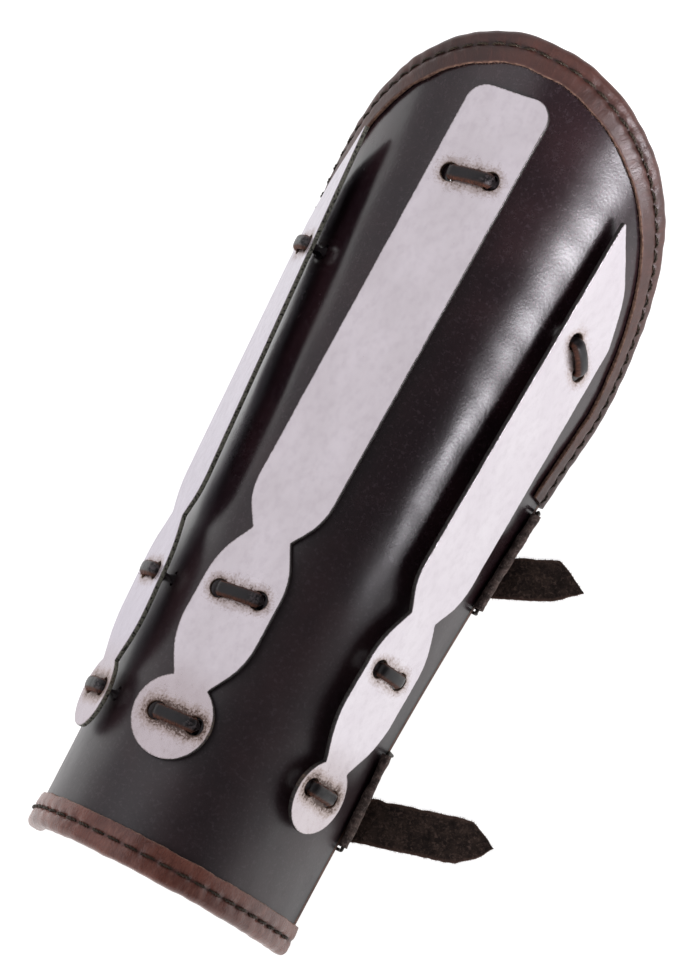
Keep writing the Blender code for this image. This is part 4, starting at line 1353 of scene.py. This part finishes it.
def strap_rings(spec, tips, seed):
    """Rings of a suede strap with soft, slightly ragged cut edges, its lengths around and along,
    its mark of cut edge, and (middle, side, up, elbow half, wrist half) along it."""
    stations = strap_stations(spec, tips)
    middles = np.array([s[0] for s in stations])
    runs = runs_along(middles)
    wanted = np.append(np.arange(0.0, runs[-1], 0.8 * MM), runs[-1])

    def along(which, soften):
        values = np.array([s[which] for s in stations], float).reshape(len(runs), -1)
        fine = between(wanted, runs, values)
        for _ in range(soften):
            fine[1:-1] = (fine[:-2] + 2 * fine[1:-1] + fine[2:]) / 4
        return fine

    centre, side, up = along(0, 8), unit(along(1, 8)), unit(along(2, 8))
    left, right = [along(which, 1)[:, 0] + wave * MM * ripple(seed + k, 9 * MM, wanted)
                   + 0.10 * MM * ripple(seed + k + 1, 2.5 * MM, wanted)
                   for which, wave, k in ((3, 0.22, 0), (4, 0.20, 2))]
    half = STRAP_THICK / 2
    top = [(w, half * (1 - 0.12 * w**4)) for w in np.linspace(1.0, -1.0, 13)]
    low = [(w, -half * (1 - 0.12 * w**4)) for w in np.linspace(-1.0, 1.0, 9)]
    section = [(1.0, -0.35 * half), (1.0, 0.35 * half), *top, (-1.0, 0.35 * half),
               (-1.0, -0.35 * half), *low]
    rings, raw = [], []
    for w, t in section:
        edge = abs(w) > 0.999
        soft = 1.0 if edge and abs(t) < half * 0.5 else 0.985
        reach = (left - right) / 2 + w * soft * (left + right) / 2
        height = np.full_like(reach, t)
        if t > 0:
            height += MM * (0.16 * ripple(seed + 5, 5 * MM, wanted, reach)
                            + 0.07 * ripple(seed + 6, 2 * MM, wanted, reach) - 0.10)
        height = np.maximum(-half, height)
        rings.append(centre + side * reach[:, None] + up * height[:, None])
        raw.append(1.0 if edge else 0.0)
    around = np.array(section)[:, 0] * 8 * MM
    return np.stack(rings, 1), around, wanted, raw, (centre, side, up, left, right)


def strap_fibre_roots(frame_of, count, seed):
    """Roots, directions and normals of the nap: mostly along both cut edges, some on the face."""
    rng = np.random.default_rng(seed)
    stations = len(frame_of[0])
    pick = rng.integers(int(stations * 0.5), stations - 1, count)
    centre, side, up, left, right = [values[pick] for values in frame_of]
    kind = rng.random(count)
    w = np.where(kind < 0.36, 1.0, np.where(kind < 0.62, -1.0, rng.uniform(-0.97, 0.97, count)))
    reach = (left - right) / 2 + w * 0.985 * (left + right) / 2
    edge = np.abs(w) > 0.98
    height = np.where(edge, rng.uniform(-0.3, 0.7, count) * MM, 0.62 * MM)
    roots = centre + side * reach[:, None] + up * height[:, None]
    lean = rng.normal(size=(count, 3)) * 0.5
    direction = np.where(edge[:, None], np.sign(w)[:, None] * side, 0.35 * up)
    direction = (direction + lean[:, :1] * unit(np.cross(side, up)) + lean[:, 1:2] * side
                 + np.abs(lean[:, 2:]) * up * 0.6)
    return roots, unit(direction), up


def roll_v(spec, y):
    """How far up the wall the middle of a tab's roll lies at y."""
    y_mm, width_mm, wrist_mm, elbow_mm = spec[:4]
    return (wrist_mm + (elbow_mm - wrist_mm) * ((y / MM - y_mm) / width_mm + 0.5)) * MM


def tab_path(roll):
    """(v above the shell's edge, n) along the middle of a tab, from its sewn end to its roll."""
    inside = -WALL - GAP - TAB_THICK / 2
    under = -GAP - TAB_THICK / 2 - 0.7 * MM
    path = [(TAB_REACH, inside), (TAB_REACH / 2, inside), (2 * MM, inside),
            *arc((under + TAB_BEND, inside + TAB_BEND), TAB_BEND, np.arange(255, 179, -15)),
            (under, GAP), *arc((roll, ROLL_N), ROLL_RADIUS, np.arange(150, -61, -12))]
    runs = runs_along(path)
    return between(np.linspace(0.0, runs[-1], 110), runs, path)


def edge_point(y, v, n):
    """Points v up the +X wall from the shell's edge, or straight below it."""
    y, v, n = arrays(y, v, n)
    above = wall(1.0 - np.maximum(v, 0.0) / half_girth(y), y, n)
    down = np.array((math.cos(EDGE_ANGLE), 0.0, -math.sin(EDGE_ANGLE)))
    below = wall(1.0, y, 0.0) + n[..., None] * wall_normal(1.0) - v[..., None] * down
    return np.where((v > 0)[..., None], above, below)


def tab_rings(spec, seed):
    """Rings of a leather strip rolled round the buckle's bar, creased and thinner at its sides,
    and its lengths around and along."""
    y_mm, width_mm = spec[:2]
    shares = np.linspace(-1.0, 1.0, 61)
    rings = []
    for share in shares:
        y = (y_mm + share * width_mm / 2) * MM
        path = tab_path(roll_v(spec, y))
        off = left_of(unit(np.gradient(path, axis=0)))
        runs = np.arange(len(path)) * np.linalg.norm(path[1] - path[0])
        thick = TAB_THICK / 2 * (1 - 0.35 * abs(share) ** 8)
        crease = 0.16 * MM * ripple(seed, 6 * MM, y, 0.4 * runs)
        crease = crease + 0.08 * MM * ripple(seed + 1, 2.4 * MM, y, runs)
        crease = crease - 0.22 * MM * (1 + ripple(seed + 2, 13 * MM, y, 0.2 * runs))
        crease = np.minimum(np.where(path[:, 1] > -1 * MM, crease, 0.2 * crease), 0.12 * MM)
        outer = edge_point(y, *(path + off * (thick + crease)[:, None]).T)
        inner = edge_point(y, *(path - off * thick).T)
        rings.append(np.vstack([outer, inner[::-1]]))
    around = np.concatenate([runs, runs[-1] + 0.8 * MM + runs])
    return np.array(rings), around, shares * width_mm * MM / 2


def buckle_line(spec):
    """The corners of a buckle's wire: its bar in the tab's roll, and its loop over the strap."""
    y_mm, width_mm = spec[:2]
    reach = (width_mm / 2 + 1.2) * MM
    low_v = -GAP - 2 * BAR_RADIUS - 0.4 * MM
    path = []
    for side in (-1, 1):
        y = y_mm * MM + side * reach
        knee = edge_point(y, low_v, BAR_RADIUS)
        row = [edge_point(y, roll_v(spec, y), ROLL_N), knee,
               np.array((knee[0] - BUCKLE_DEPTH, knee[1], FLOOR + BUCKLE_LIFT))]
        path += row[::side]
    return np.array(path)


# ---------------------------------------------------------------- property groups


class BracerLeather(bpy.types.PropertyGroup):
    grain: bpy.props.FloatProperty(
        name="Grain", description="Width of one pebble of the leather's grain", default=1.15 * MM,
        min=0.2 * MM, max=5 * MM, unit="LENGTH")
    gloss: bpy.props.FloatProperty(
        name="Wax roughness", description="Roughness of the waxed leather at the elbow",
        default=0.20, min=0.05, max=1.0, subtype="FACTOR")
    wave: bpy.props.FloatProperty(
        name="Wave depth", description="Depth of the shell's gentle dips", default=0.30 * MM,
        min=0.0, max=0.6 * MM, unit="LENGTH")


class BracerSewing(bpy.types.PropertyGroup):
    wrist_pitch: bpy.props.FloatProperty(
        name="Wrist pitch", description="Length of one stitch at the wrist", default=6.3 * MM,
        min=2 * MM, max=12 * MM, unit="LENGTH")
    elbow_pitch: bpy.props.FloatProperty(
        name="Elbow pitch", description="Length of one stitch at the elbow", default=5.5 * MM,
        min=2 * MM, max=12 * MM, unit="LENGTH")
    wrist_seam: bpy.props.FloatProperty(
        name="Wrist seam", description="Distance of the seam from the wrist edge",
        default=4.2 * MM, min=1 * MM, max=9 * MM, unit="LENGTH")
    elbow_seam: bpy.props.FloatProperty(
        name="Elbow seam", description="Distance of the seam from the elbow edge",
        default=3.4 * MM, min=1 * MM, max=9 * MM, unit="LENGTH")
    thread: bpy.props.FloatProperty(
        name="Thread radius", description="Half the thickness of the sewing thread",
        default=0.44 * MM, min=0.1 * MM, max=1 * MM, unit="LENGTH")


class BracerSteel(bpy.types.PropertyGroup):
    edge: bpy.props.FloatProperty(
        name="Edge softness", description="Width of the steel's worn edge", default=0.26 * MM,
        min=0.05 * MM, max=0.6 * MM, unit="LENGTH")
    stain: bpy.props.FloatProperty(
        name="Stain", description="Strength of the brown stains round the laces", default=0.85,
        min=0.0, max=1.5)


class BracerFibres(bpy.types.PropertyGroup):
    lace: bpy.props.IntProperty(
        name="Lace fibres", description="Loose fibres on each lace", default=120, min=0, max=2000)
    strap: bpy.props.IntProperty(
        name="Strap fibres", description="Loose fibres on each strap's tail", default=2600,
        min=0, max=8000)
    binding: bpy.props.IntProperty(
        name="Binding fibres", description="Loose fibres on the elbow binding's cut edge",
        default=1500, min=0, max=5000)


class BracerStudio(bpy.types.PropertyGroup):
    distance: bpy.props.FloatProperty(
        name="Camera distance", description="Camera distance from the bracer", default=2.5,
        min=0.5, max=5.0, unit="LENGTH")
    surround: bpy.props.FloatProperty(
        name="Surround", description="Brightness of the white surround", default=1.0, min=0.0,
        max=4.0)


# ---------------------------------------------------------------- operators


class BRACER_OT_shell(bpy.types.Operator):
    """Makes the waxed leather shell, pierced for the laces"""
    bl_idname = "bracer.shell"
    bl_label = "Shell"
    bl_options = {"REGISTER", "UNDO"}

    def execute(self, context):
        options = context.scene.bracer_leather
        rings = wall_rings(*SHELL_GRID, 0.0, -SHELL_THICK, wave=options.wave)
        shell = swept("shell_leather", rings, sharp=60, sheet=True, edge=edge_marks(*SHELL_GRID))
        cut_posts(shell, lace_posts())
        finish_piece(shell, shell_finish(options), "shell_leather", "shell")
        return {"FINISHED"}


class BRACER_OT_lining(bpy.types.Operator):
    """Makes the bare lining that shows past the long edges"""
    bl_idname = "bracer.lining"
    bl_label = "Lining"
    bl_options = {"REGISTER", "UNDO"}

    def execute(self, context):
        rings = wall_rings(*LINING_GRID, -SHELL_THICK - GAP, -WALL, margin=margin_fade)
        lining = swept("lining_leather", rings, sharp=60, sheet=True)
        cut_posts(lining, lace_posts())
        finish_piece(lining, lining_finish(), "lining_leather", "lining")
        return {"FINISHED"}


class BRACER_OT_bindings(bpy.types.Operator):
    """Makes the two folded bindings, their stitches and the elbow binding's loose fibres"""
    bl_idname = "bracer.bindings"
    bl_label = "Bindings"
    bl_options = {"REGISTER", "UNDO"}

    def execute(self, context):
        sewing, thread = context.scene.bracer_sewing, thread_finish()
        lengths = np.linspace(0.0, 2.0, WRIST_STATIONS) * half_girth(WRIST_Y)
        # painted light: the wrist binding is coloured lighter, standing in for the light falling on
        # it
        make_binding("wrist", on_wrist, lengths, sewing, thread, 5.0 * MM, (31, 3),
                     ("6e4035", "945d4e", "ab7b6c", 0.24))
        line, inward, runs = elbow_edge(ELBOW_STATIONS)

        def on_elbow(length, v, n):
            away = unit(between(length, runs, inward))
            place = between(length, runs, line) + away * np.asarray(v)[..., None]
            return wall(place[..., 0] / half_girth(place[..., 1]), place[..., 1], n)

        # painted shade: the elbow binding is coloured darker, standing in for the shade falling on
        # it
        make_binding("elbow", on_elbow, runs, sewing, thread, 4.3 * MM, (47, 4),
                     ("40231c", "57332a", "6a433a", 0.40))
        found = edge_fibre_roots(on_elbow, runs[-1], context.scene.bracer_fibres.binding)
        fuzz("elbow_edge_fibres", *found, 0.75, fibre_finish("cut_edge_fibres", "6f4f40", "a98671"),
             "binding_leather", 21)
        return {"FINISHED"}


class BRACER_OT_splints(bpy.types.Operator):
    """Makes the three steel splints"""
    bl_idname = "bracer.splints"
    bl_label = "Splints"
    bl_options = {"REGISTER", "UNDO"}

    def execute(self, context):
        options = context.scene.bracer_steel
        for seed, (name, spec) in enumerate(SPLINTS.items()):
            ties = tie_places(name)
            holes = [centre for _, *place in ties for centre in hole_centres(*place)]
            splint = splint_mesh("splint_steel_" + name, Seat(spec), splint_outline(*spec[7:]),
                                 holes, options.edge, 60 + 5 * seed)
            steel = steel_finish("steel_" + name, ties, STEEL_TONES_WITH_PAINTED_LIGHT[name], options)
            finish_piece(splint, steel, "splint_steel", "splint_" + name)
        return {"FINISHED"}


class BRACER_OT_laces(bpy.types.Operator):
    """Makes the nine lace loops and their loose fibres"""
    bl_idname = "bracer.laces"
    bl_label = "Laces"
    bl_options = {"REGISTER", "UNDO"}

    def execute(self, context):
        leather, found = lace_finish(), []
        for number, (name, tie, seat, place, depth) in enumerate(laced_ties()):
            seed = 110 + 10 * number
            rings, around, marks = lace_rings(seat, place, depth, seed)
            lengths = np.arange(len(rings) + 1) * LACE_STEP + seed * MM
            lace = swept(f"lace_thong_{name}_{tie}", rings, around, lengths, closed_path=True,
                         sharp=70, **marks)
            finish_piece(lace, leather, "lace_leather", f"lace_{name}_{tie}")
            found.append(lace_fibre_roots(seat, place, depth, context.scene.bracer_fibres.lace,
                                          seed))
        fuzz("lace_fibres", *[np.vstack(held) for held in zip(*found)], 0.55,
             fibre_finish("lace_fibres", "5a3427", "a87257"), "lace_leather", 17)
        return {"FINISHED"}


class BRACER_OT_closures(bpy.types.Operator):
    """Makes the two straps, the tabs that hold the buckles, and the buckles' wire"""
    bl_idname = "bracer.closures"
    bl_label = "Closures"
    bl_options = {"REGISTER", "UNDO"}

    def execute(self, context):
        suede, leather, wire = suede_finish(), tab_finish(), wire_finish()
        nap = fibre_finish("suede_fibres", "2a201c", "7d675c")
        for seed, (name, spec) in enumerate(CLOSURES.items()):
            rings, around, runs, raw, frame_of = strap_rings(spec, TAIL_TIPS[name],
                                                             200 + 20 * seed)
            strap = swept("strap_suede_" + name, rings, around, runs, sharp=60, raw=raw)
            finish_piece(strap, suede, "strap_leather", "strap_" + name)
            found = strap_fibre_roots(frame_of, context.scene.bracer_fibres.strap, 300 + seed)
            fuzz("strap_fibres_" + name, *found, 0.7, nap, "strap_leather", 40 + seed)
            rings, around, runs = tab_rings(spec, 400 + 20 * seed)
            tab = swept("tab_leather_" + name, rings, around, runs, sharp=60)
            finish_piece(tab, leather, "tab_leather", "tab_" + name)
            line = buckle_line(spec)
            mesh = bpy.data.meshes.new("buckle_wire_" + name)
            mesh.from_pydata(line.tolist(), [(i - 1, i) for i in range(1, len(line))]
                             + [(len(line) - 1, 0)], [])
            buckle = add_object("buckle_wire_" + name, mesh)
            run_tree(buckle, wire_tree(), wire_radius=BAR_RADIUS, corner_radius=0.9 * MM,
                     material=wire)
            finish_piece(buckle, None, "buckle_steel", "buckle_" + name)
        return {"FINISHED"}


# ---------------------------------------------------------------- studio

# The room's light by angle from overhead towards +X, in degrees
ROOM_STOPS = ((-90, 0.46), (-66, 0.52), (-46, 0.88), (-20, 0.92), (-4, 0.16), (44, 0.10),
              (62, 0.24), (90, 0.62))
# Softboxes: name, place, aim, width, length, power and the spread of their light in degrees
SOFTBOXES = (
    ("key_softbox", (0.68, 0.06, 0.31), (-0.017, 0.135, 0.04), 0.17, 0.20, 0.041, 20),
    ("elbow_softbox", (0.60, 0.075, 0.42), (0.03, 0.225, 0.08), 0.26, 0.15, 0.28, 24),
)
SOFTBOX_TINT = (0.97, 0.94, 1.0)
# The view: degrees round to the bracer's right, towards the wrist and of roll, then its height
# at the middle splint's disc and how far the disc lies left of its middle and below it
VIEW_TURNS = (11.6, 6.05, 28.04)
VIEW_HEIGHT = 316.63974 * MM
VIEW_SHIFT = (57.5 * MM, 73.1 * MM)
FLOOR_HALF = 8.0


def square_to(place, x, y, z):
    """The matrix of something at place with those axes."""
    return Matrix.Translation(place) @ Matrix((x, y, z)).transposed().to_4x4()


def add_softbox(name, place, aim, width, length, power, spread):
    light = bpy.data.lights.new(name, "AREA")
    light.shape, light.size, light.size_y = "RECTANGLE", width, length
    light.energy, light.color, light.spread = power, SOFTBOX_TINT, math.radians(spread)
    away = (Vector(place) - Vector(aim)).normalized()
    side = Vector((0.0, 1.0, 0.0)).cross(away).normalized()
    add_object(name, light).matrix_world = square_to(place, side, away.cross(side), away)


def surround(strength):
    """A soft grey room round the bracer's length: dark overhead to the right, bright left."""
    world = bpy.data.worlds.new("surround")
    world.use_nodes = True
    g = Graph(world.node_tree)
    place = g.node("ShaderNodeTexCoord").outputs["Generated"]
    turn = g.math("ARCTAN2", g.axis(place, "X"), g.axis(place, "Z"))
    share = g.node("ShaderNodeMapRange", Value=turn, From_Min=-math.pi / 2, From_Max=math.pi / 2)
    ramp = g.node("ShaderNodeValToRGB", Fac=share.outputs["Result"])
    ramp.color_ramp.interpolation = "EASE"
    stops = ramp.color_ramp.elements
    for _ in range(len(ROOM_STOPS) - 2):
        stops.new(0.5)
    for stop, (degrees, level) in zip(stops, ROOM_STOPS):
        stop.position = (degrees + 90) / 180
        stop.color = (0.98 * level, 0.955 * level, level, 1.0)
    back = g.nodes["Background"].inputs
    g.put(back["Color"], ramp.outputs["Color"])
    g.put(back["Strength"], strength)
    return world


def add_camera(scene, distance):
    """A camera above the bracer, seen a little from its right and its wrist end, and rolled so
    that the elbow end points up and to the right."""
    right_of, tilt, roll = [math.radians(degrees) for degrees in VIEW_TURNS]
    back = Vector((math.sin(right_of) * math.cos(tilt), -math.sin(tilt),
                   math.cos(right_of) * math.cos(tilt)))
    level = (Vector((0, 1, 0)) - back.y * back).normalized()
    beside = level.cross(back)
    up = math.cos(roll) * level - math.sin(roll) * beside
    right = math.sin(roll) * level + math.cos(roll) * beside
    disc = Vector(Seat(SPLINTS["middle"]).world(0.0, 0.0, SPLINT_THICK))
    aim = disc + right * VIEW_SHIFT[0] + up * VIEW_SHIFT[1]
    camera = bpy.data.cameras.new("camera")
    camera.sensor_width = 36.0
    camera.lens = camera.sensor_width * distance / VIEW_HEIGHT
    camera.clip_end = 50.0
    scene.camera = add_object("camera", camera)
    scene.camera.matrix_world = square_to(aim + back * distance, right, up, back)


class BRACER_OT_studio(bpy.types.Operator):
    """Makes the pale floor, the surround, the lights and the camera"""
    bl_idname = "bracer.studio"
    bl_label = "Studio"
    bl_options = {"REGISTER", "UNDO"}

    def execute(self, context):
        scene, reach = context.scene, FLOOR_HALF
        mesh = bpy.data.meshes.new("floor")
        mesh.from_pydata([(-reach, -reach, 0), (reach, -reach, 0), (reach, reach, 0),
                          (-reach, reach, 0)], [], [(0, 1, 2, 3)])
        floor = add_object("floor", mesh)
        mesh.materials.append(Finish("white_paper").done(
            (0.35, 0.35, 0.35, 1.0), 1.0, Specular_IOR_Level=0.0,
            Emission_Color=(1.0, 1.0, 1.0, 1.0), Emission_Strength=1.0))
        scene.world = surround(scene.bracer_studio.surround)
        for softbox in SOFTBOXES:
            add_softbox(*softbox)
        scene.view_settings.view_transform = "Standard"
        add_camera(scene, scene.bracer_studio.distance)
        return {"FINISHED"}


# ---------------------------------------------------------------- panel and registration


class BRACER_PT_panel(bpy.types.Panel):
    """Lists the bracer's pieces"""
    bl_idname = "BRACER_PT_panel"
    bl_label = "Bracer"
    bl_space_type = "VIEW_3D"
    bl_region_type = "UI"
    bl_category = "Bracer"

    def draw(self, context):
        scene = context.scene
        for key in GROUPS:
            box = self.layout.box()
            held = getattr(scene, key)
            for prop in held.bl_rna.properties:
                if prop.identifier not in ("rna_type", "name"):
                    box.prop(held, prop.identifier)
        for maker in MAKERS:
            self.layout.operator(maker.bl_idname)


GROUPS = {"bracer_leather": BracerLeather, "bracer_sewing": BracerSewing,
          "bracer_steel": BracerSteel, "bracer_fibres": BracerFibres,
          "bracer_studio": BracerStudio}
MAKERS = (BRACER_OT_shell, BRACER_OT_lining, BRACER_OT_bindings, BRACER_OT_splints,
          BRACER_OT_laces, BRACER_OT_closures, BRACER_OT_studio)


def register():
    for key, group in GROUPS.items():
        bpy.utils.register_class(group)
        setattr(bpy.types.Scene, key, bpy.props.PointerProperty(type=group))
    for maker in MAKERS:
        bpy.utils.register_class(maker)
    bpy.utils.register_class(BRACER_PT_panel)


def unregister():
    bpy.utils.unregister_class(BRACER_PT_panel)
    for maker in reversed(MAKERS):
        bpy.utils.unregister_class(maker)
    for key, group in reversed(GROUPS.items()):
        delattr(bpy.types.Scene, key)
        bpy.utils.unregister_class(group)


def main():
    register()
    bpy.ops.bracer.shell()
    bpy.ops.bracer.lining()
    bpy.ops.bracer.bindings()
    bpy.ops.bracer.splints()
    bpy.ops.bracer.laces()
    bpy.ops.bracer.closures()
    bpy.ops.bracer.studio()


if __name__ == "__main__":
    main()
